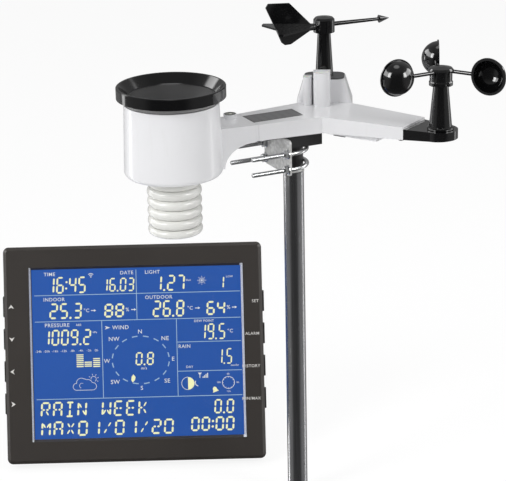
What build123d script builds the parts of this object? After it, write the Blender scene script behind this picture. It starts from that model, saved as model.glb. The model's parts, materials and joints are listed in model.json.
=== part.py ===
from build123d import *
import math
import os

os.makedirs("parts", exist_ok=True)

# Home weather station: an outdoor sensor array on a mast, and its indoor console.
# Millimetres. The origin is the mast's axis where it meets the floor, +Z up.
# The rain arm runs to the left and forward (-X, -Y), the cup arm to the right and forward.

# Mast and plan layout
MAST_D = 19.0
MAST_WALL = 1.1
MAST_LENGTH = 325.0
MAST_TO_ARM_TOP = 55.0
MAST_OFFSET = 31.5
ARM_ANGLE = 30.0

# Arm housing
HUB_HALF_WIDTH = 28.6
ARM_TAPER = 0.097
ARM_DEPTH = 14.9
CUP_END_DEPTH = 10.4
TAPER_START = 16.0
WALL = 1.8
PAN_THICK = 1.6
FIT_GAP = 0.1
RAIN_ARM_END = 78.8
CUP_ARM_END = 95.0
SEAM_GROOVE = 0.5
SEAM_BAND = 2.8

# Sensor tower at the back of the hub
TOWER_FRONT = 17.5
TOWER_BASE_WIDTH = 51.0
TOWER_BASE_DEPTH = 29.0
TOWER_TOP_WIDTH = 38.0
TOWER_TOP_DEPTH = 25.0
TOWER_HEIGHT = 22.0
TOWER_CORNER = 4.0
TOWER_CAP_THICK = 1.4
TOWER_CAP_CORNER = 8.0
TOWER_CAP_INSET = 0.5
LIGHT_X = -1.7
LIGHT_Y = 9.1
LIGHT_R = 7.8
LIGHT_HEIGHT = 31.5
UV_X = -15.0
UV_Y = 11.5
UV_R = 3.9
UV_HEIGHT = 26.5
LENS_THICK = 1.2
LENS_RIM = 1.5

# Solar panel and level
PANEL_LENGTH = 50.0
PANEL_WIDTH = 24.0
PANEL_THICK = 1.8
PANEL_AT = 51.5
PANEL_GAP = 0.25
LEVEL_AT = 89.0
LEVEL_SIDE = 11.5
LEVEL_R = 6.0
LEVEL_HEIGHT = 4.2
VIAL_R = 4.6
VIAL_DEPTH = 3.2

# Shafts and bearings, shared by the vane and the cups
SHAFT_R = 1.5
RUN_CLEAR = 0.05
BEARING_R = 4.0
BEARING_HEIGHT = 4.0
SPIN_GAP = 0.6
SEAT_DEPTH = 9.0
MAGNET_R = 3.0
MAGNET_HEIGHT = 2.5

# Wind vane
VANE_Y = 28.5
VANE_PYLON_TOP = 64.0
VANE_PYLON_TOP_R = 6.0
VANE_PYLON_BASE_R = 8.3
VANE_PYLON_FOOT = 2.0
VANE_FLANGE_R = 9.1
VANE_FLANGE_THICK = 3.0
VANE_HUB_R = 9.8
VANE_HUB_HEIGHT = 14.6
VANE_ROD_Z = 71.0
VANE_ANGLE = 25.0
POINTER_REACH = 65.0
POINTER_ROOT_R = 2.1
POINTER_END_R = 1.5
ARROW_LENGTH = 10.0
ARROW_R = 3.7
FIN_THICK = 1.8
FIN_ROOT = 7.0
TAIL_HALF_SPAN = 25.0
TAIL_ROOT_HALF = 5.0
TAIL_REAR = 47.0

# Cup rotor
CUP_REACH = 121.8
CAP_DROP = 2.0
CAP_END_R = 15.6
CUP_PYLON_TOP = 37.4
CUP_PYLON_TOP_R = 6.8
CUP_PYLON_BASE_R = 10.2
ROTOR_HUB_R = 10.0
HUB_CAP_LIP = 1.2
HUB_CAP_HEIGHT = 4.6
ROTOR_HUB_HEIGHT = 17.0
CUP_CENTRE_R = 45.5
CUP_Z = 50.5
CUP_R = 15.4
CUP_WALL = 1.2
CUP_LIP = 1.1
CUP_ARM_R = 1.7
CUP_ARM_BACK = 3.0
CUP_ANGLE = -28.3
CUP_COUNT = 3

# Mast mount and bracket
BLOCK_HALF_WIDTH = 15.0
BLOCK_BACK = 22.0
BLOCK_FRONT = 14.5
BLOCK_DEPTH = 29.0
FLANGE_FRONT = 35.0
FLANGE_DEPTH = 17.6
STUB_STEP = 0.5
STUB_R = MAST_D / 2 - STUB_STEP
SPIGOT_LENGTH = 30.0
PLATE_WIDTH = 52.0
PLATE_TOP = 18.4
PLATE_BOTTOM = 51.5
PLATE_THICK = 2.0
JAW_HALF_WIDTH = 17.0
JAW_REACH = 17.0
JAW_TEETH = 4
ROD_R = 2.0
U_HALF_SPACING = 22.5
U_LEG_PAST_PLATE = 36.0
U_DEPTHS = (31.4, 45.9)
HOLE_CLEAR = 0.3
NUT_FLAT = 3.6
NUT_THICK = 3.2
WASHER_R = 4.6
WASHER_THICK = 0.9

# Array batteries
CELL_R = 7.2
CELL_LENGTH = 50.2
CELL_PITCH = 15.0
CELL_NUB_R = 2.6
CELL_NUB = 1.4
BAY_START = 13.0
BAY_WALL = 1.3
BAY_CLEAR = 0.9
DOOR_THICK = 1.4
DOOR_GAP = 0.4
TAB_WIDTH = 12.0
TAB_DROP = 1.5
RESET_AT = 82.0
RESET_R = 2.0
RESET_OUT = 1.0
RESET_FLANGE_R = 3.2

# Sensor board
BOARD_Z = -8.0
BOARD_BOX = (-19.0, 17.0, 10.0, 43.0)

# Small screws
SCREW_R = 1.3
SCREW_HEAD_R = 2.5
SCREW_HEAD = 1.6
SCREW_LENGTH = 8.0
BOSS_R = 3.2
BOSS_BITE = 0.8

# Rain gauge
GAUGE_REACH = 150.8
RIM_R = 48.6
RIM_TOP = 41.3
RIM_HEIGHT = 10.0
RIM_LIP = 2.4
COLLAR_R = 41.2
COLLAR_HEIGHT = 5.0
BODY_TOP_R = 42.3
BODY_LOW_R = 44.0
BODY_WALL = 2.0
BODY_BOTTOM = -39.5
BODY_EDGE_R = 4.5
FUNNEL_GAP = 0.5
FUNNEL_WALL = 1.8
FUNNEL_KNEE_R = 39.5
FUNNEL_KNEE_Z = 33.0
SKIRT_BOTTOM_Z = 18.0
SPOUT_R = 4.2
SPOUT_TOP_Z = 3.0
SPOUT_BOTTOM_Z = -5.5
SPOUT_WALL = 1.4
SCREEN_R = 8.0
SCREEN_THICK = 1.0
SCREEN_HOLE_R = 0.9
NECK_LOW_Z = -37.0
DRAIN_R = 3.0
DRAIN_AT = 30.0

# Tipping bucket
PIVOT_Z = -27.0
BUCKET_HALF_LENGTH = 26.0
BUCKET_HALF_WIDTH = 8.0
BUCKET_SKIN = 1.2
BUCKET_TOP = 18.0
BUCKET_LIP = 12.0
BUCKET_FLOOR = 2.0
PIN_R = 1.0
PIVOT_BOSS_R = 2.6
POST_GAP = 1.5
POST_THICK = 3.0
FRAME_THICK = 2.0
BUCKET_MAGNET_R = 1.5
BUCKET_MAGNET_OUT = 0.9
BOARD_THICK = 1.6

# Radiation shield
SHIELD_R = 24.6
LOBE_BULGE = 2.9
RING_PITCH = 9.05
RING_COUNT = 5
RING_GAP = 0.3
LOBE_LAND = 1.2
RING_INNER_R = 14.0
RING_WEB = 1.8
SPACER_R = 2.4
SPACER_AT = 16.6
SHIELD_TOP = -41.0
SHIELD_BASE_THICK = 7.9
COLLAR_NECK_R = 19.0
PROBE_R = 5.0
PROBE_LENGTH = 36.0

# Console
CONSOLE_WIDTH = 257.4
CONSOLE_HEIGHT = 216.0
CONSOLE_DEPTH = 24.0
CONSOLE_X = -162.3
CONSOLE_Y = 42.8
CONSOLE_YAW = 5.1
CONSOLE_TILT = 19.6
CASE_CORNER = 5.5
CASE_WALL = 2.2
BEZEL_DEPTH = 14.0
WINDOW_SIDE = 24.4
WINDOW_SHIFT = 3.2
WINDOW_TOP = 23.0
WINDOW_BOTTOM = 24.0
WINDOW_BEVEL = 2.2
GLASS_THICK = 1.2
GLASS_GAP = 0.4
LCD_RECESS = 3.4
LCD_THICK = 1.6
BUTTON_COUNT = 4
BUTTON_Y = 8.6
BUTTON_PITCH = 32.3
BUTTON_CENTRE_Z = 108.4
BUTTON_LENGTH = 21.0
BUTTON_WIDTH = 5.0
BUTTON_OUT = 1.6
BUTTON_CLEAR = 0.4
BUTTON_FLANGE = 1.2
CONSOLE_BOARD_BOX = (-80.0, 80.0, 30.0, 112.0)
STAND_HINGE_Z = 95.0
STAND_HINGE_IN = 3.0
STAND_WIDTH = 70.0
STAND_THICK = 3.6
STAND_FOOT_OUT = 45.0
STAND_GAP = 0.6
STAND_PIN_R = 1.6
STAND_PIN_LENGTH = 4.0
CONSOLE_CELLS = 3
CONSOLE_DOOR_Z = 150.0
CONSOLE_DOOR_HEIGHT = 58.0
CONSOLE_DOOR_WIDTH = 66.0
KEYHOLE_SPACING = 150.0
KEYHOLE_Z = 190.0
KEYHOLE_HEAD_R = 4.5
KEYHOLE_SLOT_R = 2.2
KEYHOLE_SLOT = 8.0
JACK_WIDTH = 9.0
JACK_HEIGHT = 7.4
JACK_LENGTH = 11.0
JACK_BORE_R = 2.8
JACK_PIN_R = 1.0
JACK_X = 70.0
CASE_CHAMFER = 3.2
BACK_CHAMFER = 3.0
SCREW_SINK = 5.0
SOUNDER_SLOTS = 6
SOUNDER_X = 95.0
SOUNDER_PITCH = 4.5
SOUNDER_SLOT = 2.2

COS = math.cos(math.radians(ARM_ANGLE))
SIN = math.sin(math.radians(ARM_ANGLE))
ARM_TOP = MAST_LENGTH + MAST_TO_ARM_TOP
CELL_Z = -WALL - 0.2 - CELL_R
BAY_DOOR_TOP = CELL_Z - CELL_R - 0.3
BAY_BOTTOM = BAY_DOOR_TOP - DOOR_THICK
BODY_RIM = RIM_TOP - RIM_HEIGHT - COLLAR_HEIGHT
STAND_HINGE_Y = CONSOLE_DEPTH - STAND_HINGE_IN
STAND_FOOT_Z = (STAND_FOOT_OUT + STAND_HINGE_Y - CONSOLE_DEPTH) * math.tan(math.radians(CONSOLE_TILT))
STAND_LENGTH = math.hypot(STAND_FOOT_OUT, STAND_HINGE_Z - STAND_FOOT_Z) - STAND_THICK / 2
POCKET_DEPTH = STAND_HINGE_IN + STAND_THICK / 2 + STAND_GAP
POCKET_LOW = STAND_HINGE_Z - STAND_LENGTH - STAND_GAP
JACK_Y = CONSOLE_DEPTH - CASE_WALL - JACK_HEIGHT / 2

# Local frames. Each arm frame has +X out along the arm and Z = 0 on the arm's top face.
HUB = Pos(MAST_OFFSET * COS, MAST_OFFSET * SIN, ARM_TOP)
RAIN_ARM = HUB * Rot(0, 0, 180 + ARM_ANGLE)
CUP_ARM = HUB * Rot(0, 0, -ARM_ANGLE)
MOUNT = RAIN_ARM * Pos(MAST_OFFSET, 0, 0)
GAUGE = RAIN_ARM * Pos(GAUGE_REACH, 0, 0)
ROTOR = CUP_ARM * Pos(CUP_REACH, 0, 0)
VANE = HUB * Pos(0, VANE_Y, 0)
CONSOLE_LIFT = CONSOLE_DEPTH * math.sin(math.radians(CONSOLE_TILT))
CONSOLE = Pos(CONSOLE_X, CONSOLE_Y, CONSOLE_LIFT) * Rot(0, 0, CONSOLE_YAW) * Rot(-CONSOLE_TILT, 0, 0)


def save(name, shape):
    """Write one sub-part's STEP file."""
    shape.label = name
    export_step(shape, f"parts/{name}.step")


def disc(radius, low, high):
    """A cylinder about Z from one height to another."""
    return Pos(0, 0, (low + high) / 2) * Cylinder(radius, high - low)


def tube(outer, inner, low, high):
    """A tube about Z from one height to another."""
    return disc(outer, low, high) - disc(inner, low, high)


def slab(x0, x1, y0, y1, z0, z1):
    """A box between two corners."""
    centre = Pos((x0 + x1) / 2, (y0 + y1) / 2, (z0 + z1) / 2)
    return centre * Box(x1 - x0, y1 - y0, z1 - z0)


def prism(points, low, high):
    """A flat outline extruded up Z."""
    return Pos(0, 0, low) * extrude(Polygon(*points, align=None), high - low)


def turned(points):
    """A half outline of (radius, height) points turned about Z."""
    face = make_face(Polyline(*points, close=True))
    return revolve(Plane.XZ * face, Axis.Z)


def wall_prism(points, half_width):
    """An outline of (along, up) points extruded both ways across Y."""
    face = make_face(Polyline(*points, close=True))
    return extrude(Plane.XZ * face, half_width, both=True)


def rounded_box(width, depth, corner, low, high):
    """A box about Z with its upright edges rounded."""
    return Pos(0, 0, low) * extrude(RectangleRounded(width, depth, corner), high - low)


def around(shape, count, radius, start=0.0):
    """Copies of a shape set on a circle about Z."""
    places = [Rot(0, 0, start + 360 * i / count) * Pos(radius, 0, 0) for i in range(count)]
    return [place * shape for place in places]


def cell(length=CELL_LENGTH):
    """A round battery cell lying along X, with its raised contact at the +X end."""
    body = Rot(0, 90, 0) * Cylinder(CELL_R, length - CELL_NUB)
    nub = Pos(length / 2 - CELL_NUB / 2, 0, 0) * Rot(0, 90, 0) * Cylinder(CELL_NUB_R, CELL_NUB)
    return Pos(-CELL_NUB / 2, 0, 0) * body + nub


# Arm housing

def half_width(reach):
    """Half the arm's width at a distance from the hub's centre."""
    return HUB_HALF_WIDTH - ARM_TAPER * reach


def arm_point(reach, side, edge, inset):
    """A plan point on an arm: side -1 is the rain arm, edge +1 is the far edge."""
    across = edge * (half_width(reach) - inset)
    return (side * (COS * reach + SIN * across), COS * across - SIN * reach)


def crossing(edge, inset):
    """The plan point where the two arms' edges meet on the hub's centre line."""
    reach = -SIN * edge * (HUB_HALF_WIDTH - inset) / (COS - SIN * edge * ARM_TAPER)
    return arm_point(reach, 1, edge, inset)


def underside(reach):
    """Height of the cup arm's underside at a distance from the hub's centre."""
    slope = (ARM_DEPTH - CUP_END_DEPTH) / (CUP_REACH - TAPER_START)
    return -ARM_DEPTH + slope * max(0, reach - TAPER_START)


def above_underside(lift):
    """Everything higher than the arms' underside plus a lift, in the cup arm's frame."""
    end = CUP_REACH + 40
    outline = [
        (-end, lift - ARM_DEPTH), (TAPER_START, lift - ARM_DEPTH), (end, lift + underside(end)),
        (end, end), (-end, end),
    ]
    return wall_prism(outline, end)


def chevron(inset, low, high, end_inset=0.0):
    """The two-armed plan outline as a solid."""
    rain = RAIN_ARM_END - end_inset
    cup = CUP_ARM_END - end_inset
    points = [
        arm_point(rain, -1, 1, inset),
        arm_point(rain, -1, -1, inset),
        crossing(-1, inset),
        arm_point(cup, 1, -1, inset),
        arm_point(cup, 1, 1, inset),
        crossing(1, inset),
    ]
    return prism(points, low, high)


def tower_foot(inset, low, high):
    """The part of the hub under the sensor tower."""
    block = rounded_box(
        TOWER_BASE_WIDTH - 2 * inset, TOWER_BASE_DEPTH - 2 * inset, TOWER_CORNER, low, high
    )
    return Pos(0, TOWER_FRONT + TOWER_BASE_DEPTH / 2, 0) * block


def tower(inset, low, high):
    """The tapered sensor tower, shrunk all round by an inset."""
    base = RectangleRounded(TOWER_BASE_WIDTH - 2 * inset, TOWER_BASE_DEPTH - 2 * inset, TOWER_CORNER)
    top = RectangleRounded(TOWER_TOP_WIDTH - 2 * inset, TOWER_TOP_DEPTH - 2 * inset, TOWER_CORNER)
    base = Pos(0, TOWER_FRONT + TOWER_BASE_DEPTH / 2, low) * base
    top = Pos(0, TOWER_FRONT + TOWER_TOP_DEPTH / 2, high) * top
    return loft(Sketch() + [base, top])


def column(x, y, radius, low, high):
    """A sensor column with a round front, joined to the tower's front face."""
    back = slab(x - radius, x + radius, y, TOWER_FRONT + TOWER_CAP_INSET - FIT_GAP, low, high)
    return Pos(x, y, 0) * disc(radius, low, high) + back


def panel_place():
    return Rot(0, 0, 180 + ARM_ANGLE) * Pos(PANEL_AT, 0, 0)


def housing_screw_places():
    """Plan places of the screws that close the arm housing, as hub-frame locations."""
    rain = Rot(0, 0, 180 + ARM_ANGLE)
    cup = Rot(0, 0, -ARM_ANGLE)
    clear = WALL + BOSS_R - BOSS_BITE
    places = [rain * Pos(RAIN_ARM_END - clear, edge * (half_width(RAIN_ARM_END) - clear)) for edge in (-1, 1)]
    places += [cup * Pos(CUP_ARM_END - clear, edge * (half_width(CUP_ARM_END) - clear)) for edge in (-1, 1)]
    places += [Pos(edge * (TOWER_BASE_WIDTH / 2 - clear), VANE_Y) for edge in (-1, 1)]
    return places


def screw_seats():
    """Heights of the screw heads' undersides, in the order of their places."""
    clear = WALL + BOSS_R - BOSS_BITE
    cup = underside(CUP_ARM_END - clear + BOSS_R)
    return [-ARM_DEPTH, -ARM_DEPTH, cup, cup, -ARM_DEPTH, -ARM_DEPTH]


def upper_housing():
    """The white top shell: both arms, the sensor tower and its two sensor columns."""
    tapered = Rot(0, 0, -ARM_ANGLE) * above_underside(0)
    outer = chevron(0, -ARM_DEPTH, 0) & tapered
    outer += tower_foot(0, -ARM_DEPTH, 0)
    outer += tower(0, 0, TOWER_HEIGHT)
    outer += column(LIGHT_X, LIGHT_Y, LIGHT_R, 0, LIGHT_HEIGHT)
    outer += column(UV_X, UV_Y, UV_R, 0, UV_HEIGHT)
    hollow = chevron(WALL, -ARM_DEPTH, -WALL, WALL) + tower_foot(WALL, -ARM_DEPTH, -WALL)
    hollow += tower(WALL, -WALL, TOWER_HEIGHT + WALL)
    hollow += column(LIGHT_X, LIGHT_Y, LIGHT_R - LENS_RIM - WALL / 2, -WALL, LIGHT_HEIGHT - LENS_THICK - WALL)
    shell = outer - hollow
    shell -= Pos(LIGHT_X, LIGHT_Y, 0) * disc(LIGHT_R - LENS_RIM, LIGHT_HEIGHT - LENS_THICK, LIGHT_HEIGHT)
    shell -= Pos(UV_X, UV_Y, 0) * disc(UV_R - LENS_RIM / 2, UV_HEIGHT - LENS_THICK, UV_HEIGHT)
    pocket = PANEL_GAP + PANEL_LENGTH / 2
    pocket_half = PANEL_GAP + PANEL_WIDTH / 2
    floor = slab(-pocket - WALL, pocket + WALL, -pocket_half - WALL, pocket_half + WALL,
                 -PANEL_THICK - WALL, -WALL)
    shell += panel_place() * floor
    shell -= panel_place() * slab(-pocket, pocket, -pocket_half, pocket_half, -PANEL_THICK, 0)
    band = RAIN_ARM_END - SEAM_BAND
    groove = slab(band, band + SEAM_GROOVE, -HUB_HALF_WIDTH, HUB_HALF_WIDTH, -ARM_DEPTH, 0)
    core = half_width(band) - SEAM_GROOVE
    groove -= slab(band, band + SEAM_GROOVE, -core, core, -ARM_DEPTH, -SEAM_GROOVE)
    shell -= Rot(0, 0, 180 + ARM_ANGLE) * groove
    for place, seat in zip(housing_screw_places(), screw_seats()):
        shell += place * tube(BOSS_R, SCREW_R, seat + PAN_THICK, -WALL)
    return shell


def battery_bay(outset, low, high):
    """The battery bay as a solid in the cup arm's frame, grown by an outset."""
    length = CELL_LENGTH + 2 * BAY_CLEAR
    half = (CELL_PITCH + 2 * CELL_R) / 2 + BAY_CLEAR
    return slab(BAY_START - outset, BAY_START + length + outset, -half - outset, half + outset, low, high)


def lower_housing():
    """The pan that closes the arms from below, with the battery bay's frame."""
    inset = WALL + FIT_GAP
    arm = Rot(0, 0, -ARM_ANGLE)
    pan = chevron(inset, -ARM_DEPTH, -WALL - FIT_GAP, inset) & (arm * above_underside(0))
    pan -= arm * above_underside(PAN_THICK)
    pan += tower_foot(inset, -ARM_DEPTH, PAN_THICK - ARM_DEPTH)
    pan += arm * battery_bay(BAY_WALL, BAY_BOTTOM, -WALL - FIT_GAP)
    pan -= arm * battery_bay(0, BAY_BOTTOM, -WALL)
    pan -= arm * Pos(RESET_AT, 0, 0) * disc(RESET_R + BUTTON_CLEAR, -ARM_DEPTH, -WALL)
    for x, y in board_posts():
        pan += Pos(x, y, 0) * disc(BOSS_R, PAN_THICK - ARM_DEPTH, BOARD_Z)
    for place, seat in zip(housing_screw_places(), screw_seats()):
        pan -= place * disc(BOSS_R + FIT_GAP, seat + PAN_THICK, seat + 2 * PAN_THICK)
        pan -= place * disc(SCREW_R, -ARM_DEPTH, seat + PAN_THICK)
        pan -= place * disc(SCREW_HEAD_R + FIT_GAP, -2 * ARM_DEPTH, seat)
    return pan


def board_posts():
    """The two standoffs under the sensor board."""
    x0, x1, y0, y1 = BOARD_BOX
    return [((x0 + x1) / 2, y0 + BOSS_R), ((x0 + x1) / 2, y1 - BOSS_R)]


def sensor_board():
    """The array's main circuit board with its vane sensor, radio and crystal."""
    x0, x1, y0, y1 = BOARD_BOX
    board = slab(x0, x1, y0, y1, BOARD_Z, BOARD_Z + BOARD_THICK)
    top = BOARD_Z + BOARD_THICK
    board += Pos(0, VANE_Y, top + 0.6) * Box(5, 4, 1.2)
    board += slab(x0 + 3, x0 + 13, y0 + 4, y0 + 16, top, top + 1.8)
    board += slab(x1 - 9, x1 - 2, y1 - 10, y1 - 3, top, top + 1.4)
    for place in housing_screw_places()[-2:]:
        board -= place * disc(BOSS_R + FIT_GAP, BOARD_Z, top + 2)
    return board


def screw(length=SCREW_LENGTH):
    """A small pan-head screw pointing up, its head's underside at Z = 0."""
    head = disc(SCREW_HEAD_R, -SCREW_HEAD, 0)
    slot = Pos(0, 0, -SCREW_HEAD) * Box(2.6, 0.7, 1.2) + Pos(0, 0, -SCREW_HEAD) * Box(0.7, 2.6, 1.2)
    return head + disc(SCREW_R, 0, length) - slot


def make_arm_housing():
    save("upper_housing", HUB * upper_housing())
    save("lower_housing", HUB * lower_housing())
    save("sensor_board", HUB * sensor_board())
    screws = [HUB * place * Pos(0, 0, seat) * screw()
              for place, seat in zip(housing_screw_places(), screw_seats())]
    save("housing_screws", Compound(children=screws))
    panel = slab(
        -PANEL_LENGTH / 2, PANEL_LENGTH / 2, -PANEL_WIDTH / 2, PANEL_WIDTH / 2, -PANEL_THICK, 0
    )
    save("solar_panel", HUB * panel_place() * panel)
    cap = rounded_box(TOWER_TOP_WIDTH - 2 * TOWER_CAP_INSET, TOWER_TOP_DEPTH - 2 * TOWER_CAP_INSET,
                      TOWER_CAP_CORNER, 0, TOWER_CAP_THICK)
    cap = Pos(0, TOWER_FRONT + TOWER_TOP_DEPTH / 2, TOWER_HEIGHT) * cap
    cap -= Pos(0, VANE_Y, 0) * disc(VANE_PYLON_BASE_R + FIT_GAP, 0, TOWER_HEIGHT + TOWER_CAP_THICK)
    save("tower_cap", HUB * cap)
    light = disc(LIGHT_R - LENS_RIM, LIGHT_HEIGHT - LENS_THICK, LIGHT_HEIGHT)
    save("light_sensor_lens", HUB * Pos(LIGHT_X, LIGHT_Y, 0) * light)
    uv = disc(UV_R - LENS_RIM / 2, UV_HEIGHT - LENS_THICK, UV_HEIGHT)
    save("uv_sensor_lens", HUB * Pos(UV_X, UV_Y, 0) * uv)


def make_array_battery():
    centre = BAY_START + BAY_CLEAR + CELL_LENGTH / 2
    pair = [CUP_ARM * Pos(centre, edge * CELL_PITCH / 2, CELL_Z) * Rot(0, 0, 90 - edge * 90) * cell()
            for edge in (-1, 1)]
    save("array_cells", Compound(children=pair))
    door = battery_bay(-DOOR_GAP, BAY_BOTTOM, BAY_DOOR_TOP)
    half = (CELL_PITCH + 2 * CELL_R) / 2
    tab_x = BAY_START + BAY_CLEAR + TAB_WIDTH
    door += slab(tab_x - TAB_WIDTH / 2, tab_x + TAB_WIDTH / 2, -half, -half + 3, BAY_BOTTOM - TAB_DROP,
                 BAY_BOTTOM)
    save("array_battery_door", CUP_ARM * door)
    low = underside(RESET_AT)
    button = disc(RESET_R, low - RESET_OUT, low + PAN_THICK + 1.2)
    button += disc(RESET_FLANGE_R, low + PAN_THICK + 0.4, low + PAN_THICK + 1.6)
    save("reset_button", CUP_ARM * Pos(RESET_AT, 0, 0) * button)


# Wind vane

def bearing():
    return tube(BEARING_R, SHAFT_R + RUN_CLEAR, 0, BEARING_HEIGHT)


def vane_pylon():
    """The tapered black pylon under the vane, bored through for its bearings."""
    seat = TOWER_HEIGHT
    body = turned([
        (0, VANE_PYLON_FOOT), (VANE_PYLON_BASE_R, VANE_PYLON_FOOT),
        (VANE_PYLON_BASE_R, seat + TOWER_CAP_THICK),
        (VANE_PYLON_TOP_R, VANE_PYLON_TOP), (0, VANE_PYLON_TOP),
    ])
    body += disc(VANE_FLANGE_R, seat - VANE_FLANGE_THICK, seat)
    return body - disc(BEARING_R + FIT_GAP / 2, VANE_PYLON_FOOT, VANE_PYLON_TOP)


def fin_outline():
    """The upright tail fin's outline: distance behind the axis, height above the rod."""
    return [(FIN_ROOT, 1.2), (13, 1.9), (34, 23.5), (54.5, 24.7), (57, 21.0), (48, 1.3), (42, -12.5),
            (39, -15.0), (33, -14.7), (14, -4.0), (FIN_ROOT, -4.0)]


def vane_tail():
    """The tail moulding: an upright fin crossed by a level, swept fin."""
    upright = make_face(Polyline(*fin_outline(), close=True))
    upright = extrude(Plane.XZ * upright, FIN_THICK / 2, both=True)
    rounded = upright.edges().filter_by(Axis.Y).sort_by(Axis.X)[-6:-1]
    upright = fillet(rounded, 1.4)
    level = prism([
        (FIN_ROOT, -TAIL_ROOT_HALF), (TAIL_REAR + 3, -TAIL_HALF_SPAN), (TAIL_REAR + 6, -TAIL_HALF_SPAN + 4),
        (TAIL_REAR, 0), (TAIL_REAR + 6, TAIL_HALF_SPAN - 4), (TAIL_REAR + 3, TAIL_HALF_SPAN),
        (FIN_ROOT, TAIL_ROOT_HALF),
    ], -FIN_THICK / 2, FIN_THICK / 2)
    return Pos(0, 0, VANE_ROD_Z) * (Rot(0, 0, 180) * (upright + level))


def vane_pointer():
    """The pointer rod and its arrowhead, along +X."""
    root = FIN_ROOT
    shoulder = POINTER_REACH - ARROW_LENGTH
    rod = turned([(0, root), (POINTER_ROOT_R, root), (POINTER_END_R, shoulder), (ARROW_R, shoulder),
                  (0.3, POINTER_REACH), (0, POINTER_REACH)])
    return Pos(0, 0, VANE_ROD_Z) * Rot(0, 90, 0) * rod


def vane_hub(fitted):
    """The domed vane hub, with sockets for the shaft and the pieces fitted into it."""
    low = VANE_PYLON_TOP + SPIN_GAP
    high = low + VANE_HUB_HEIGHT
    hub = turned([(0, low), (VANE_HUB_R, low), (VANE_HUB_R, high - 3), (VANE_HUB_R - 1.6, high - 1.2),
                  (0, high)])
    hub -= disc(VANE_PYLON_TOP_R + 1.4, low, low + 1.6)
    hub -= disc(SHAFT_R, low, low + SEAT_DEPTH)
    for piece in fitted:
        hub -= piece
    return hub


def make_vane():
    turn = VANE * Rot(0, 0, VANE_ANGLE)
    pointer = vane_pointer()
    tail = vane_tail()
    top = VANE_PYLON_TOP + SPIN_GAP
    save("vane_pylon", VANE * vane_pylon())
    save("vane_pointer", turn * pointer)
    save("vane_tail", turn * tail)
    save("vane_hub", turn * vane_hub([pointer, tail]))
    shaft_foot = VANE_PYLON_FOOT + MAGNET_HEIGHT + 1
    save("vane_shaft", VANE * disc(SHAFT_R, shaft_foot, top + SEAT_DEPTH))
    magnet = disc(MAGNET_R, shaft_foot - MAGNET_HEIGHT, shaft_foot)
    save("vane_magnet", VANE * magnet)


# Cup rotor

def cap_plan(inset):
    """The cap's plan as a solid: the arm's sides drawn in to a round nose."""
    wide = half_width(CUP_ARM_END) - inset
    nose = CAP_END_R - 0.4 - inset
    top = -CAP_DROP - inset
    sides = prism([(CUP_ARM_END, -wide), (CUP_REACH, -nose), (CUP_REACH, nose), (CUP_ARM_END, wide)],
                  -ARM_DEPTH, top)
    return (sides + Pos(CUP_REACH, 0, 0) * disc(CAP_END_R - inset, -ARM_DEPTH, top)) & above_underside(inset)


def cup_arm_cap():
    """The black end of the cup arm: a hollow cap with the rotor's pylon on it."""
    shell = cap_plan(0) - cap_plan(WALL)
    foot = CUP_PYLON_BASE_R + 1.5
    pylon = turned([
        (0, -CAP_DROP), (foot - 0.5, -CAP_DROP), (foot, -CAP_DROP + 0.5), (foot, -CAP_DROP + 2),
        (foot - 0.5, -CAP_DROP + 2.5), (CUP_PYLON_BASE_R, -CAP_DROP + 3.2),
        (CUP_PYLON_TOP_R, CUP_PYLON_TOP), (0, CUP_PYLON_TOP),
    ])
    shell += Pos(CUP_REACH, 0, 0) * pylon
    return shell - Pos(CUP_REACH, 0, 0) * disc(BEARING_R + FIT_GAP / 2, -CAP_DROP - WALL, CUP_PYLON_TOP)


def wind_cup():
    """One cup on its arm, on the +X side, open towards -Y."""
    ball = Sphere(CUP_R) - Sphere(CUP_R - CUP_WALL)
    bowl = ball - slab(-CUP_R, CUP_R, -CUP_R, 0, -CUP_R, CUP_R)
    lip = Rot(90, 0, 0) * tube(CUP_R + CUP_LIP, CUP_R - CUP_WALL, -1.2, 0)
    arm_length = CUP_CENTRE_R - CUP_R + 1.0 - FIN_ROOT
    arm = Pos(FIN_ROOT + arm_length / 2, CUP_ARM_BACK, 0) * Rot(0, 90, 0) * Cylinder(CUP_ARM_R, arm_length)
    bowl = Pos(CUP_CENTRE_R, 0, 0) * (bowl + lip)
    arm -= Pos(CUP_CENTRE_R, 0, 0) * Sphere(CUP_R - CUP_WALL)
    return Pos(0, 0, CUP_Z) * (bowl + arm)


def rotor_hub(cups):
    """The cup rotor's hub, domed on top, with sockets for the arms."""
    low = CUP_PYLON_TOP + SPIN_GAP
    high = low + ROTOR_HUB_HEIGHT
    flare = ROTOR_HUB_R + HUB_CAP_LIP / 2
    brim = ROTOR_HUB_R + HUB_CAP_LIP
    under = high - HUB_CAP_HEIGHT
    hub = turned([
        (0, low), (flare, low), (flare, low + 3), (ROTOR_HUB_R, low + 4), (ROTOR_HUB_R, under),
        (brim, under), (brim, under + 1.2), (brim - 1.4, high - 1.6), (3, high), (0, high),
    ])
    hub -= disc(CUP_PYLON_TOP_R + 1.5, low, low + 3)
    for notch in around(slab(-3, 3, -1.5, 1.5, low, low + 2.4), 6, ROTOR_HUB_R, 30):
        hub -= notch
    hub -= disc(SHAFT_R, low, low + SEAT_DEPTH)
    for cup in cups:
        hub -= cup
    return hub


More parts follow.
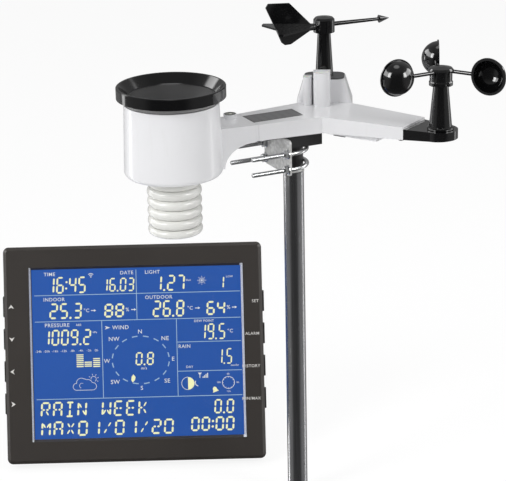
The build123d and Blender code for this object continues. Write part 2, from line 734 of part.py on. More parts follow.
def make_cup_rotor():
    save("cup_arm_cap", CUP_ARM * cup_arm_cap())
    cups = [Rot(0, 0, CUP_ANGLE + ARM_ANGLE + 360 * i / CUP_COUNT) * wind_cup() for i in range(CUP_COUNT)]
    save("wind_cups", Compound(children=[ROTOR * cup for cup in cups]))
    save("cup_hub", ROTOR * rotor_hub(cups))
    shaft_foot = 0.5
    top = CUP_PYLON_TOP + SPIN_GAP + SEAT_DEPTH
    save("cup_shaft", ROTOR * disc(SHAFT_R, shaft_foot, top))
    save("cup_magnet", ROTOR * disc(MAGNET_R, shaft_foot - MAGNET_HEIGHT, shaft_foot))
    rest = underside(CUP_REACH + 8) + WALL
    board = slab(-12, 8, -8, 8, rest, rest + BOARD_THICK)
    board += slab(-2.5, 2.5, -1.5, 1.5, rest + BOARD_THICK, rest + BOARD_THICK + 1.8)
    save("cup_sensor_board", ROTOR * board)
    rings = [ROTOR * Pos(0, 0, z) * bearing() for z in (4.0, CUP_PYLON_TOP - BEARING_HEIGHT - 1)]
    rings += [VANE * Pos(0, 0, z) * bearing() for z in (14.0, VANE_PYLON_TOP - BEARING_HEIGHT - 1)]
    save("shaft_bearings", Compound(children=rings))


# Mast and bracket

def mount_block():
    """The black block under the rain arm, with the stub and spigot that carry it on the mast."""
    top = -ARM_DEPTH
    block = slab(-BLOCK_BACK, BLOCK_FRONT, -BLOCK_HALF_WIDTH, BLOCK_HALF_WIDTH, -BLOCK_DEPTH, top)
    block += slab(-BLOCK_BACK, FLANGE_FRONT, -BLOCK_HALF_WIDTH - 1, BLOCK_HALF_WIDTH + 1, -FLANGE_DEPTH, top)
    block += disc(STUB_R, -MAST_TO_ARM_TOP, -BLOCK_DEPTH)
    spigot = MAST_D / 2 - MAST_WALL - FIT_GAP
    return block + disc(spigot, -MAST_TO_ARM_TOP - SPIGOT_LENGTH, -MAST_TO_ARM_TOP)


def u_hole_places():
    """Where the U-bolt legs pass through the plate: across the arm, and down."""
    return [(edge * U_HALF_SPACING, -depth) for depth in U_DEPTHS for edge in (-1, 1)]


def bracket_plate():
    """The galvanised clamp plate, with a toothed jaw bent round the stub."""
    inner = BLOCK_FRONT + FIT_GAP
    outer = inner + PLATE_THICK
    half = PLATE_WIDTH / 2
    plate = slab(inner, outer, -half, half, -PLATE_BOTTOM, -PLATE_TOP)
    plate = fillet(plate.edges().filter_by(Axis.X), 3)
    low = -PLATE_BOTTOM
    jaw = slab(inner - JAW_REACH, inner, -JAW_HALF_WIDTH, JAW_HALF_WIDTH, low, low + PLATE_THICK)
    grip = STUB_R + FIT_GAP
    mouth = [(inner - JAW_REACH, -grip), (0, -grip), (grip, 0), (0, grip), (inner - JAW_REACH, grip)]
    jaw -= prism(mouth, low, low + PLATE_THICK)
    jaw -= disc(grip, low, low + PLATE_THICK)
    tooth = prism([(-0.9, 0), (0, 1.1), (0.9, 0)], low, low + PLATE_THICK)
    for i in range(JAW_TEETH):
        x = inner - JAW_REACH + 2 + 2.6 * i
        jaw -= Pos(x, JAW_HALF_WIDTH, 0) * Rot(0, 0, 180) * tooth
        jaw -= Pos(x, -JAW_HALF_WIDTH, 0) * tooth
    plate += jaw
    for y, z in u_hole_places():
        plate -= Pos(inner, y, z) * Rot(0, 90, 0) * Cylinder(ROD_R + HOLE_CLEAR, 3 * PLATE_THICK)
    return plate


def u_bolt(depth):
    """One U-bolt, its bend bearing on the stub's back and its legs running out along the arm."""
    bend_x = U_HALF_SPACING - STUB_R - ROD_R - FIT_GAP
    leg_end = BLOCK_FRONT + FIT_GAP + PLATE_THICK + U_LEG_PAST_PLATE
    path = Polyline((leg_end, U_HALF_SPACING, 0), (bend_x, U_HALF_SPACING, 0))
    bottom = (bend_x - U_HALF_SPACING, 0, 0)
    path += ThreePointArc((bend_x, U_HALF_SPACING, 0), bottom, (bend_x, -U_HALF_SPACING, 0))
    path += Polyline((bend_x, -U_HALF_SPACING, 0), (leg_end, -U_HALF_SPACING, 0))
    start = Plane(origin=(leg_end, U_HALF_SPACING, 0), z_dir=(-1, 0, 0))
    return Pos(0, 0, -depth) * sweep(start * Circle(ROD_R), path=path)


def make_mount():
    save("mast_tube", tube(MAST_D / 2, MAST_D / 2 - MAST_WALL, 0, MAST_LENGTH))
    save("mount_block", MOUNT * mount_block())
    save("bracket_plate", MOUNT * bracket_plate())
    save("u_bolts", Compound(children=[MOUNT * u_bolt(depth) for depth in U_DEPTHS]))
    face = BLOCK_FRONT + FIT_GAP + PLATE_THICK
    washer = tube(WASHER_R, ROD_R + HOLE_CLEAR / 2, 0, WASHER_THICK)
    nut = extrude(RegularPolygon(NUT_FLAT, 6, major_radius=False), NUT_THICK)
    nut -= disc(ROD_R + HOLE_CLEAR / 3, 0, NUT_THICK)
    washers = [MOUNT * Pos(face, y, z) * Rot(0, 90, 0) * washer for y, z in u_hole_places()]
    nuts = [MOUNT * Pos(face + WASHER_THICK, y, z) * Rot(0, 90, 0) * nut for y, z in u_hole_places()]
    save("u_bolt_washers", Compound(children=washers))
    save("u_bolt_nuts", Compound(children=nuts))


# Rain gauge

def gauge_shell_outline(inset, low):
    """The gauge body's half outline, shrunk by an inset, with a rounded lower edge."""
    edge = BODY_LOW_R - BODY_EDGE_R
    corner = BODY_EDGE_R - inset
    arc = [
        (edge + corner * math.cos(angle), BODY_BOTTOM + BODY_EDGE_R - corner * math.sin(angle))
        for angle in [math.radians(15 * i) for i in range(7)]
    ]
    return [(0, BODY_RIM), (BODY_TOP_R - inset, BODY_RIM)] + arc + [(0, low)]


def gauge_neck():
    """The neck that carries the gauge on the arm, hollow towards the arm, with a curved web below."""
    start = RAIN_ARM_END + FIT_GAP
    end = GAUGE_REACH - BODY_TOP_R + 6
    low = -ARM_DEPTH - 0.6
    curve = [(start + (end - 6 - start) * math.sin(a), low + (NECK_LOW_Z - low) * (1 - math.cos(a)))
             for a in [math.radians(10 * i) for i in range(10)]]
    side = wall_prism([(start, 0)] + curve + [(end, NECK_LOW_Z), (end, 0)], HUB_HALF_WIDTH)
    width = [(start, -half_width(start)), (end, -half_width(end)), (end, half_width(end)),
             (start, half_width(start))]
    neck = side & prism(width, NECK_LOW_Z, 0)
    inner = half_width(end) - WALL
    neck -= slab(start, end - 8, -inner, inner, -ARM_DEPTH + WALL, -WALL)
    level = Pos(LEVEL_AT, -LEVEL_SIDE, 0)
    neck += level * disc(LEVEL_R, -WALL, LEVEL_HEIGHT)
    return neck - level * disc(VIAL_R, LEVEL_HEIGHT - VIAL_DEPTH, LEVEL_HEIGHT)


def gauge_housing():
    """The white bucket of the rain gauge with its neck, drains and the collar above the shield."""
    neck = Pos(-GAUGE_REACH, 0, 0) * gauge_neck()
    outer = turned(gauge_shell_outline(0, BODY_BOTTOM)) + neck
    outer += disc(COLLAR_NECK_R, SHIELD_TOP, BODY_BOTTOM + 1)
    inner = turned(gauge_shell_outline(BODY_WALL, BODY_BOTTOM + BODY_WALL))
    shell = outer - inner
    shell -= disc(PROBE_R + 4, SHIELD_TOP, BODY_BOTTOM)
    for drain in around(disc(DRAIN_R, BODY_BOTTOM, BODY_BOTTOM + BODY_WALL), 2, DRAIN_AT):
        shell -= drain
    return shell


def funnel_floor(radius):
    """Height of the funnel's sloping floor at a radius."""
    slope = (FUNNEL_KNEE_Z - SPOUT_TOP_Z) / (FUNNEL_KNEE_R - SPOUT_R)
    return SPOUT_TOP_Z + slope * (radius - SPOUT_R)


def rain_funnel():
    """The black collecting funnel: rim, steep lip, sloping floor, guide skirt and spout."""
    skirt = BODY_TOP_R - BODY_WALL - FUNNEL_GAP
    under_rim = BODY_RIM + COLLAR_HEIGHT
    inner = skirt - FUNNEL_WALL
    spout = SPOUT_R + SPOUT_WALL
    outline = [
        (RIM_R - RIM_LIP, RIM_TOP), (RIM_R - 0.6, RIM_TOP), (RIM_R, RIM_TOP - 0.6), (RIM_R, under_rim),
        (COLLAR_R, under_rim), (COLLAR_R, BODY_RIM + FUNNEL_GAP), (skirt, BODY_RIM + FUNNEL_GAP),
        (skirt, SKIRT_BOTTOM_Z), (inner, SKIRT_BOTTOM_Z), (inner, funnel_floor(inner) - 1.3 * FUNNEL_WALL),
        (spout, funnel_floor(spout) - 1.3 * FUNNEL_WALL), (spout, SPOUT_BOTTOM_Z),
        (SPOUT_R, SPOUT_BOTTOM_Z), (SPOUT_R, SPOUT_TOP_Z), (FUNNEL_KNEE_R, FUNNEL_KNEE_Z),
    ]
    return turned(outline)


def debris_screen():
    """The perforated screen that sits over the funnel's spout."""
    low = funnel_floor(SCREEN_R) + FIT_GAP
    screen = disc(SCREEN_R, low, low + SCREEN_THICK)
    hole = disc(SCREEN_HOLE_R, low, low + SCREEN_THICK)
    holes = around(hole, 6, 2.7) + around(hole, 12, 5.4) + [hole]
    for piece in holes:
        screen -= piece
    return screen


def tipping_bucket():
    """The two-sided bucket, level, with its pivot at the local origin."""
    reach = BUCKET_HALF_LENGTH
    lip = BUCKET_LIP - BUCKET_SKIN
    body = wall_prism([(-reach, BUCKET_LIP), (-reach, lip), (0, BUCKET_FLOOR - BUCKET_SKIN), (reach, lip),
                       (reach, BUCKET_LIP), (1, BUCKET_TOP), (-1, BUCKET_TOP)], BUCKET_HALF_WIDTH)
    inside = BUCKET_HALF_WIDTH - BUCKET_SKIN
    for side in (-1, 1):
        pocket = [(side * 0.7, BUCKET_TOP + 1), (side * 0.7, BUCKET_FLOOR + 0.4),
                  (side * (reach + 1), BUCKET_LIP + 0.3),
                  (side * (reach + 1), BUCKET_TOP + 1)]
        body -= wall_prism(pocket, inside)
    body += Rot(90, 0, 0) * Cylinder(PIVOT_BOSS_R, 2 * BUCKET_HALF_WIDTH)
    return body - Rot(90, 0, 0) * Cylinder(PIN_R + RUN_CLEAR, 2 * BUCKET_HALF_WIDTH)


def bucket_frame():
    """The black frame on the gauge's floor whose two posts hold the bucket's pin."""
    low = BODY_BOTTOM + BODY_WALL
    inner = BUCKET_HALF_WIDTH + POST_GAP
    frame = slab(-22, 22, -inner - POST_THICK, inner + POST_THICK, low, low + FRAME_THICK)
    for edge in (-1, 1):
        y = edge * (inner + POST_THICK / 2)
        frame += slab(-5, 5, y - POST_THICK / 2, y + POST_THICK / 2, low, PIVOT_Z + 6)
    return frame - Pos(0, 0, PIVOT_Z) * Rot(90, 0, 0) * Cylinder(PIN_R, 2 * (inner + POST_THICK))


def lobed(straight, start, crest, end):
    """A profile of straight lines closed by one arc, turned about Z."""
    outline = Polyline(*straight) + ThreePointArc(start, crest, end)
    return revolve(Plane.XZ * make_face(outline), Axis.Z)


def shield_ring():
    """One louvre ring of the radiation shield with its three spacers, centred on Z = 0."""
    tall = (RING_PITCH - RING_GAP) / 2
    root = SHIELD_R - LOBE_BULGE
    half = RING_WEB / 2
    inner = root - LOBE_LAND
    straight = [
        (root, tall), (inner, tall), (inner, half), (RING_INNER_R, half),
        (RING_INNER_R, -half), (inner, -half), (inner, -tall), (root, -tall),
    ]
    ring = lobed(straight, (root, -tall), (SHIELD_R, 0), (root, tall))
    for spacer in around(disc(SPACER_R, -RING_PITCH / 2, RING_PITCH / 2), 3, SPACER_AT):
        ring += spacer
    return ring


def shield_base():
    """The closed, vented bottom of the radiation shield, its top face at Z = 0."""
    low = -SHIELD_BASE_THICK
    edge = SHIELD_R - LOBE_BULGE
    straight = [(edge, -RING_GAP), (edge - LOBE_LAND, -RING_GAP), (RING_INNER_R, 0), (0, 0), (0, low),
                (edge - 1.6, low)]
    base = lobed(straight, (edge - 1.6, low), (SHIELD_R, low / 2 - 0.4), (edge, -RING_GAP))
    base -= disc(RING_INNER_R - 2, low + WALL, 0)
    for slot in around(slab(-3, 3, -0.9, 0.9, low, low + WALL), 8, 7):
        base -= slot
    return base


def make_rain_gauge():
    save("gauge_housing", GAUGE * gauge_housing())
    save("rain_funnel", GAUGE * rain_funnel())
    save("debris_screen", GAUGE * debris_screen())
    vial = disc(VIAL_R, LEVEL_HEIGHT - VIAL_DEPTH, LEVEL_HEIGHT)
    save("level_vial", RAIN_ARM * Pos(LEVEL_AT, -LEVEL_SIDE, 0) * vial)
    save("bucket_frame", GAUGE * bucket_frame())
    save("tipping_bucket", GAUGE * Pos(0, 0, PIVOT_Z) * tipping_bucket())
    half_pin = BUCKET_HALF_WIDTH + POST_GAP + POST_THICK
    pin = Rot(90, 0, 0) * Cylinder(PIN_R, 2 * half_pin)
    save("bucket_pin", GAUGE * Pos(0, 0, PIVOT_Z) * pin)
    magnet = Rot(90, 0, 0) * Cylinder(BUCKET_MAGNET_R, BUCKET_MAGNET_OUT)
    magnet = Pos(0, BUCKET_HALF_WIDTH + BUCKET_MAGNET_OUT / 2, 8) * magnet
    save("bucket_magnet", GAUGE * Pos(0, 0, PIVOT_Z) * magnet)
    board = slab(-9, 9, half_pin, half_pin + BOARD_THICK, BODY_BOTTOM + BODY_WALL, PIVOT_Z + 10)
    board += slab(-6, 6, half_pin + BOARD_THICK, half_pin + BOARD_THICK + 2, PIVOT_Z + 4, PIVOT_Z + 7)
    save("rain_sensor_board", GAUGE * board)
    rings = [GAUGE * Pos(0, 0, SHIELD_TOP - (i + 0.5) * RING_PITCH) * shield_ring()
             for i in range(RING_COUNT)]
    save("shield_rings", Compound(children=rings))
    save("shield_base", GAUGE * Pos(0, 0, SHIELD_TOP - RING_COUNT * RING_PITCH) * shield_base())
    top = BODY_BOTTOM
    probe = disc(PROBE_R, top - PROBE_LENGTH, top)
    for slot in around(slab(-1.5, 1.5, -0.8, 0.8, top - PROBE_LENGTH + 4, top - PROBE_LENGTH + 18), 6,
                       PROBE_R):
        probe -= slot
    save("temp_humidity_probe", GAUGE * probe)


# Console. In its own frame X is right, Y runs from the face to the back, Z is up the face.

def case_slice(inset, front, back):
    """A slice of the console's case between two depths, shrunk all round by an inset."""
    face = RectangleRounded(CONSOLE_WIDTH - 2 * inset, CONSOLE_HEIGHT - 2 * inset, CASE_CORNER - inset)
    upright = Plane(origin=(0, front, CONSOLE_HEIGHT / 2), x_dir=(1, 0, 0), z_dir=(0, 1, 0))
    return extrude(upright * face, back - front)


def window_outline(grow, depth):
    """The display window's outline at one depth, grown all round."""
    width = CONSOLE_WIDTH - 2 * WINDOW_SIDE + 2 * grow
    height = CONSOLE_HEIGHT - WINDOW_TOP - WINDOW_BOTTOM + 2 * grow
    middle = WINDOW_BOTTOM - grow + height / 2
    plane = Plane(origin=(WINDOW_SHIFT, depth, middle), x_dir=(1, 0, 0), z_dir=(0, 1, 0))
    return plane * Rectangle(width, height)


def window_slice(grow, front, back):
    """A straight block the shape of the window between two depths."""
    return extrude(window_outline(grow, front), back - front)


def button_heights():
    middle = (BUTTON_COUNT - 1) / 2
    return [BUTTON_CENTRE_Z + (middle - i) * BUTTON_PITCH for i in range(BUTTON_COUNT)]


def pill(grow, start, end):
    """A round-ended key running out along X, long up Z, grown all round."""
    place = Plane(origin=(start, BUTTON_Y, 0), x_dir=(0, 0, 1), z_dir=(1, 0, 0))
    face = SlotOverall(BUTTON_LENGTH + 2 * grow, BUTTON_WIDTH + 2 * grow)
    return extrude(place * face, end - start)


def console_bezel():
    """The console's front shell with its bevelled display window and button slots."""
    outer = case_slice(0, 0, BEZEL_DEPTH)
    outer = chamfer(outer.faces().sort_by(Axis.Y)[0].outer_wire().edges(), CASE_CHAMFER)
    shell = outer - case_slice(CASE_WALL, CASE_WALL, BEZEL_DEPTH)
    shell += window_slice(2 * WINDOW_BEVEL, 1, LCD_RECESS + GLASS_THICK)
    shell -= loft(Sketch() + [window_outline(WINDOW_BEVEL, 0), window_outline(0, LCD_RECESS)])
    shell -= window_slice(0, LCD_RECESS, LCD_RECESS + GLASS_THICK)
    slot = pill(BUTTON_CLEAR, -2 * CASE_WALL, 2 * CASE_WALL)
    for side in (-1, 1):
        for z in button_heights():
            shell -= Pos(side * CONSOLE_WIDTH / 2, 0, z) * slot
    boss = tube(BOSS_R, SCREW_R, 0, BEZEL_DEPTH - CASE_WALL)
    for x, z in console_screw_places():
        shell += Pos(x, BEZEL_DEPTH, z) * Rot(90, 0, 0) * boss
    return shell


def console_screw_places():
    """The four screws near the console's corners."""
    x = CONSOLE_WIDTH / 2 - CASE_WALL - BOSS_R - 2
    low = CASE_WALL + BOSS_R + 2
    return [(edge * x, z) for edge in (-1, 1) for z in (low, CONSOLE_HEIGHT - low)]


def stand_pocket(grow):
    """The recess in the back that the stand folds into."""
    half = STAND_WIDTH / 2 + grow
    top = STAND_HINGE_Z + STAND_THICK + grow
    return slab(-half, half, CONSOLE_DEPTH - POCKET_DEPTH, CONSOLE_DEPTH, POCKET_LOW - grow, top)


def door_slab(grow, front, back):
    """The battery door's outline in the back between two depths, grown all round."""
    half = CONSOLE_DOOR_WIDTH / 2 + grow
    return slab(-half, half, front, back, CONSOLE_DOOR_Z - CONSOLE_DOOR_HEIGHT / 2 - grow,
                CONSOLE_DOOR_Z + CONSOLE_DOOR_HEIGHT / 2 + grow)


def keyhole(x):
    """A hanging keyhole through the back: a round entry with a slot above it."""
    place = Plane(origin=(x, CONSOLE_DEPTH, KEYHOLE_Z), x_dir=(1, 0, 0), z_dir=(0, -1, 0))
    hole = extrude(place * Circle(KEYHOLE_HEAD_R), CASE_WALL)
    slot = slab(x - KEYHOLE_SLOT_R, x + KEYHOLE_SLOT_R, CONSOLE_DEPTH - CASE_WALL, CONSOLE_DEPTH,
                KEYHOLE_Z, KEYHOLE_Z + KEYHOLE_SLOT)
    return hole + slot


def console_back():
    """The console's rear shell: stand recess, battery bay, keyholes, sounder slots and jack port."""
    outer = case_slice(0, BEZEL_DEPTH, CONSOLE_DEPTH)
    outer = chamfer(outer.faces().sort_by(Axis.Y)[-1].outer_wire().edges(), BACK_CHAMFER)
    shell = outer - case_slice(CASE_WALL, BEZEL_DEPTH, CONSOLE_DEPTH - CASE_WALL)
    recess = stand_pocket(CASE_WALL)
    shell += recess & case_slice(CASE_WALL, BEZEL_DEPTH, CONSOLE_DEPTH)
    shell -= Pos(0, 0.01, 0) * stand_pocket(0)
    bay = door_slab(CASE_WALL, BEZEL_DEPTH, CONSOLE_DEPTH) - door_slab(0, BEZEL_DEPTH, CONSOLE_DEPTH)
    shell += bay
    shell -= door_slab(0, CONSOLE_DEPTH - CASE_WALL, CONSOLE_DEPTH)
    for side in (-1, 1):
        shell -= keyhole(side * KEYHOLE_SPACING / 2)
        pin_x = side * (STAND_WIDTH / 2)
        pin_hole = Rot(0, 90, 0) * Cylinder(STAND_PIN_R + RUN_CLEAR, 2 * STAND_PIN_LENGTH)
        shell -= Pos(pin_x, STAND_HINGE_Y, STAND_HINGE_Z) * pin_hole
    for i in range(SOUNDER_SLOTS):
        x = -SOUNDER_X + i * SOUNDER_PITCH
        shell -= slab(x, x + SOUNDER_SLOT, CONSOLE_DEPTH - CASE_WALL, CONSOLE_DEPTH, KEYHOLE_Z - 40,
                      KEYHOLE_Z - 26)
    for x, z in console_screw_places():
        shell -= Pos(x, CONSOLE_DEPTH, z) * Rot(90, 0, 0) * Cylinder(SCREW_HEAD_R + FIT_GAP, 2 * SCREW_SINK)
        column = tube(SCREW_HEAD_R + CASE_WALL, SCREW_HEAD_R + FIT_GAP, 0, SCREW_SINK)
        seat = tube(SCREW_HEAD_R + CASE_WALL, SCREW_R + FIT_GAP, SCREW_SINK, CONSOLE_DEPTH - BEZEL_DEPTH)
        shell += Pos(x, CONSOLE_DEPTH, z) * Rot(90, 0, 0) * (column + seat)
    jack_half = JACK_WIDTH / 2
    port = slab(-jack_half, jack_half, JACK_Y - JACK_HEIGHT / 2, JACK_Y + JACK_HEIGHT / 2, 0, CASE_WALL)
    port = Pos(JACK_X, 0, 0) * port
    return shell - port


def stand_blank():
    """The stand's plate and hinge barrel, folded flat against the back, about its hinge."""
    length = STAND_LENGTH
    half = STAND_WIDTH / 2 - STAND_GAP
    plate = slab(-half, half, -STAND_THICK / 2, STAND_THICK / 2, -length, 0)
    plate -= slab(-half + 12, half - 12, -STAND_THICK / 2, STAND_THICK / 2, -length + 14, -16)
    plate += Rot(0, 90, 0) * Cylinder(STAND_THICK / 2, 2 * half)
    pins = Rot(0, 90, 0) * Cylinder(STAND_PIN_R, STAND_WIDTH + 2 * STAND_PIN_LENGTH - 2)
    return plate + pins


def make_stand():
    swing = math.degrees(math.atan2(STAND_FOOT_OUT, STAND_HINGE_Z - STAND_FOOT_Z))
    place = CONSOLE * Pos(0, STAND_HINGE_Y, STAND_HINGE_Z) * Rot(swing, 0, 0)
    save("console_stand", place * stand_blank())


def make_display():
    front = LCD_RECESS
    glass = window_slice(-FIT_GAP, front, front + GLASS_THICK)
    save("display_window", CONSOLE * glass)
    back = front + GLASS_THICK + GLASS_GAP
    save("lcd_panel", CONSOLE * window_slice(WINDOW_BEVEL, back, back + LCD_THICK))
    board_y = back + LCD_THICK
    x0, x1, z0, z1 = CONSOLE_BOARD_BOX
    board = slab(x0, x1, board_y, board_y + BOARD_THICK, z0, z1)
    chips = slab(-50, -34, board_y + BOARD_THICK, board_y + BOARD_THICK + 1.6, 60, 76)
    chips += slab(36, 52, board_y + BOARD_THICK, board_y + BOARD_THICK + 3, 84, 108)
    save("console_board", CONSOLE * (board + chips))


def make_console_battery():
    y = CONSOLE_DEPTH - CASE_WALL - 0.3 - CELL_R
    length = CONSOLE_CELLS - 1
    places = [(0, y, CONSOLE_DOOR_Z + (i - length / 2) * CELL_PITCH) for i in range(CONSOLE_CELLS)]
    cells = [CONSOLE * Pos(*place) * Rot(0, 180 * (i % 2), 0) * cell() for i, place in enumerate(places)]
    save("console_cells", Compound(children=cells))
    door = door_slab(-DOOR_GAP, CONSOLE_DEPTH - CASE_WALL, CONSOLE_DEPTH)
    door -= slab(-9, 9, CONSOLE_DEPTH - 0.8, CONSOLE_DEPTH, CONSOLE_DOOR_Z + 18, CONSOLE_DOOR_Z + 22)
    save("console_battery_door", CONSOLE * door)


def console_button(side):
    """One side key with its inner flange; side -1 is the left edge."""
    inner = CONSOLE_WIDTH / 2 - CASE_WALL - BUTTON_CLEAR
    key = pill(0, inner, CONSOLE_WIDTH / 2 + BUTTON_OUT)
    key = fillet(key.faces().sort_by(Axis.X)[-1].edges(), 0.6)
    key += pill(BUTTON_FLANGE, inner - BUTTON_FLANGE, inner)
    return key if side > 0 else mirror(key, about=Plane.YZ)


def make_buttons():
    for side, label in ((-1, "left"), (1, "right")):
        key = console_button(side)
        for i, z in enumerate(button_heights()):
            save(f"console_button_{label}_{i + 1}", CONSOLE * Pos(0, 0, z) * key)


def make_console():
    save("console_bezel", CONSOLE * console_bezel())
    save("console_back", CONSOLE * console_back())
    make_display()
    make_console_battery()
    make_stand()
    make_buttons()
    screws = [CONSOLE * Pos(x, CONSOLE_DEPTH - SCREW_SINK, z) * Rot(90, 0, 0) * screw()
              for x, z in console_screw_places()]
    save("console_screws", Compound(children=screws))
    jack = slab(-JACK_WIDTH / 2, JACK_WIDTH / 2, -JACK_HEIGHT / 2, JACK_HEIGHT / 2, 0, JACK_LENGTH)
    jack -= disc(JACK_BORE_R, 0, JACK_LENGTH - 1.5)
    jack += disc(JACK_PIN_R, 0, JACK_LENGTH - 1.5)
    save("power_jack", CONSOLE * Pos(JACK_X, JACK_Y, 0) * jack)


make_mount()
make_arm_housing()
make_array_battery()
make_vane()
make_cup_rotor()
make_rain_gauge()
make_console()
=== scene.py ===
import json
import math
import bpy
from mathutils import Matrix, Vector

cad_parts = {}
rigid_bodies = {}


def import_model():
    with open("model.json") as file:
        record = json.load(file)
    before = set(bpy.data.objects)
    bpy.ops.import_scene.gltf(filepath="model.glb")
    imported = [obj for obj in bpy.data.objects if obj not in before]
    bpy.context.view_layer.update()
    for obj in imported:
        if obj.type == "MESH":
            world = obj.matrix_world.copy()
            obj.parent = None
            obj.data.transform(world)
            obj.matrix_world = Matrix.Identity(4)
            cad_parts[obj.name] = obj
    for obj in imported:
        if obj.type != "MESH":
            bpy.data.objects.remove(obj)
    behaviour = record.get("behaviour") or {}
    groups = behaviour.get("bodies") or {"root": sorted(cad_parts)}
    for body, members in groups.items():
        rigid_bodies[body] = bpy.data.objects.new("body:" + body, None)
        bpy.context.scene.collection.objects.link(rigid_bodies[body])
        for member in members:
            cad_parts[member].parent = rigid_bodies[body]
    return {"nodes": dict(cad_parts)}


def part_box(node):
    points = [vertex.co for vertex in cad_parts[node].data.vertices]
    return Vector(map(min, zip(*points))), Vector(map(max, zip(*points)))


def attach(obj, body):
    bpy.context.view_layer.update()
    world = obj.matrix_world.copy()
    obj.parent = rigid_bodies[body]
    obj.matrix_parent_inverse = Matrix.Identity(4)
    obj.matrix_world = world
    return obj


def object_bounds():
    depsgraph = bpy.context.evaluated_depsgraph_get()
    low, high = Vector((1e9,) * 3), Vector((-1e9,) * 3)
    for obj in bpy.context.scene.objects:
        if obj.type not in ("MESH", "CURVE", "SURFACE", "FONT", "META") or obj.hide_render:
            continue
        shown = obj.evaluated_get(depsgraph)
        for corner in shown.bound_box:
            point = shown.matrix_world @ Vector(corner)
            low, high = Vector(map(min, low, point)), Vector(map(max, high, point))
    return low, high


bl_info = {
    "name": "Home weather station",
    "version": (1, 0, 0),
    "blender": (4, 5, 0),
    "location": "3D View > Sidebar > Weather station",
    "description": "Finishes, printed marks and display of a home weather station",
    "category": "Object",
}

import bpy
import numpy as np
from mathutils import Matrix, Vector

for leftover in list(bpy.data.objects):
    bpy.data.objects.remove(leftover)
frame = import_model()
NODES = frame["nodes"]
CAD_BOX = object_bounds()
MM = 0.001


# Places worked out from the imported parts

def vertex_rows(mesh):
    """A mesh's vertices as rows."""
    flat = np.zeros(len(mesh.vertices) * 3)
    mesh.vertices.foreach_get("co", flat)
    return flat.reshape(-1, 3)


def corners(node):
    """A part's vertices as rows."""
    return vertex_rows(NODES[node].data)


def top_centre(node):
    """The middle of a part's top."""
    low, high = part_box(node)
    return np.array(((low.x + high.x) / 2, (low.y + high.y) / 2, high.z))


class Axes:
    """A local frame: a centre and three unit directions as the rows of a matrix."""

    def __init__(self, centre, rows):
        self.centre = np.array(centre, float)
        self.rows = np.array(rows, float)

    def world(self, local):
        """Local points, as rows, moved to the row frame."""
        return np.asarray(local, float) @ self.rows + self.centre

    def local(self, points):
        """Row-frame points, as rows, seen in this frame."""
        return (np.asarray(points, float) - self.centre) @ self.rows.T

    def extent(self, node):
        """The lowest and highest local corner of a part."""
        seen = self.local(corners(node))
        return seen.min(axis=0), seen.max(axis=0)


def box_directions(node):
    """A box-shaped part's centre and its long, middle and thin directions.

    They are the eigenvectors of the spread of its eight corners."""
    points = np.unique(np.round(corners(node), 6), axis=0)
    centre = (points.max(axis=0) + points.min(axis=0)) / 2
    values, vectors = np.linalg.eigh(np.cov((points - centre).T))
    order = np.argsort(values)[::-1]
    return centre, [vectors[:, i] for i in order]


def pointing(direction, towards):
    """A direction, turned round if it points away from another."""
    return direction if np.dot(direction, towards) > 0 else -direction


def display_axes():
    """The display's frame: X right, Y into the console, Z up, centred on the panel's front face."""
    centre, (wide, tall, _) = box_directions("lcd_panel")
    wide = pointing(wide, (1, 0, 0))
    tall = pointing(tall, (0, 0, 1))
    deep = np.cross(tall, wide)
    low = Axes(centre, (wide, deep, tall)).extent("lcd_panel")[0]
    return Axes(centre + deep * low[1], (wide, deep, tall))


def arm_axes():
    """The rain arm's frame: X out along the arm, Z up, centred on the solar panel's top."""
    centre, directions = box_directions("solar_panel")
    along = pointing(directions[0], (-1, 0, 0))
    up = np.array((0.0, 0.0, 1.0))
    return Axes((centre[0], centre[1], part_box("solar_panel")[1].z), (along, np.cross(up, along), up))


DISPLAY = display_axes()
ARM = arm_axes()


# Shader maths

class Value:
    """A shader socket used in Python sums: each sum adds a Math node."""

    def __init__(self, finish, socket):
        self.finish = finish
        self.socket = socket

    def maths(self, operation, *inputs):
        return self.finish.node("ShaderNodeMath", {"operation": operation}, dict(enumerate(inputs)))

    def __add__(self, other):
        return self.maths("ADD", self, other)

    __radd__ = __add__

    def __sub__(self, other):
        return self.maths("SUBTRACT", self, other)

    def __rsub__(self, other):
        return self.maths("SUBTRACT", other, self)

    def __mul__(self, other):
        return self.maths("MULTIPLY", self, other)

    __rmul__ = __mul__

    def __truediv__(self, other):
        return self.maths("DIVIDE", self, other)

    def __lt__(self, other):
        return self.maths("LESS_THAN", self, other)

    def __gt__(self, other):
        return self.maths("GREATER_THAN", self, other)

    def __abs__(self):
        return self.maths("ABSOLUTE", self)

    def wrapped(self):
        """The part after the decimal point."""
        return self.maths("FRACT", self)

    def sine(self):
        return self.maths("SINE", self)

    def step(self, low, high):
        """0 below low, 1 above high, eased between."""
        settings = {"interpolation_type": "SMOOTHSTEP"}
        return self.finish.node("ShaderNodeMapRange", settings, {0: self, 1: low, 2: high})


class Graph:
    """A node tree that nodes are added to."""

    def __init__(self, tree):
        self.nodes = tree.nodes
        self.links = tree.links

    def node(self, kind, settings=None, inputs=None, output=0):
        """Adds one node: its settings first, then the values or links of its sockets."""
        made = self.nodes.new(kind)
        for key, value in (settings or {}).items():
            if key == "stops":
                set_stops(made.color_ramp, value)
            else:
                setattr(made, key, value)
        for key, value in (inputs or {}).items():
            if isinstance(value, Value):
                self.links.new(value.socket, made.inputs[key])
            else:
                made.inputs[key].default_value = value
        return Value(self, made.outputs[output])

    def light_ray(self, kind):
        """1 on rays of one kind, 0 on others. Only the world and the floor use it."""
        return self.node("ShaderNodeLightPath", output=kind)


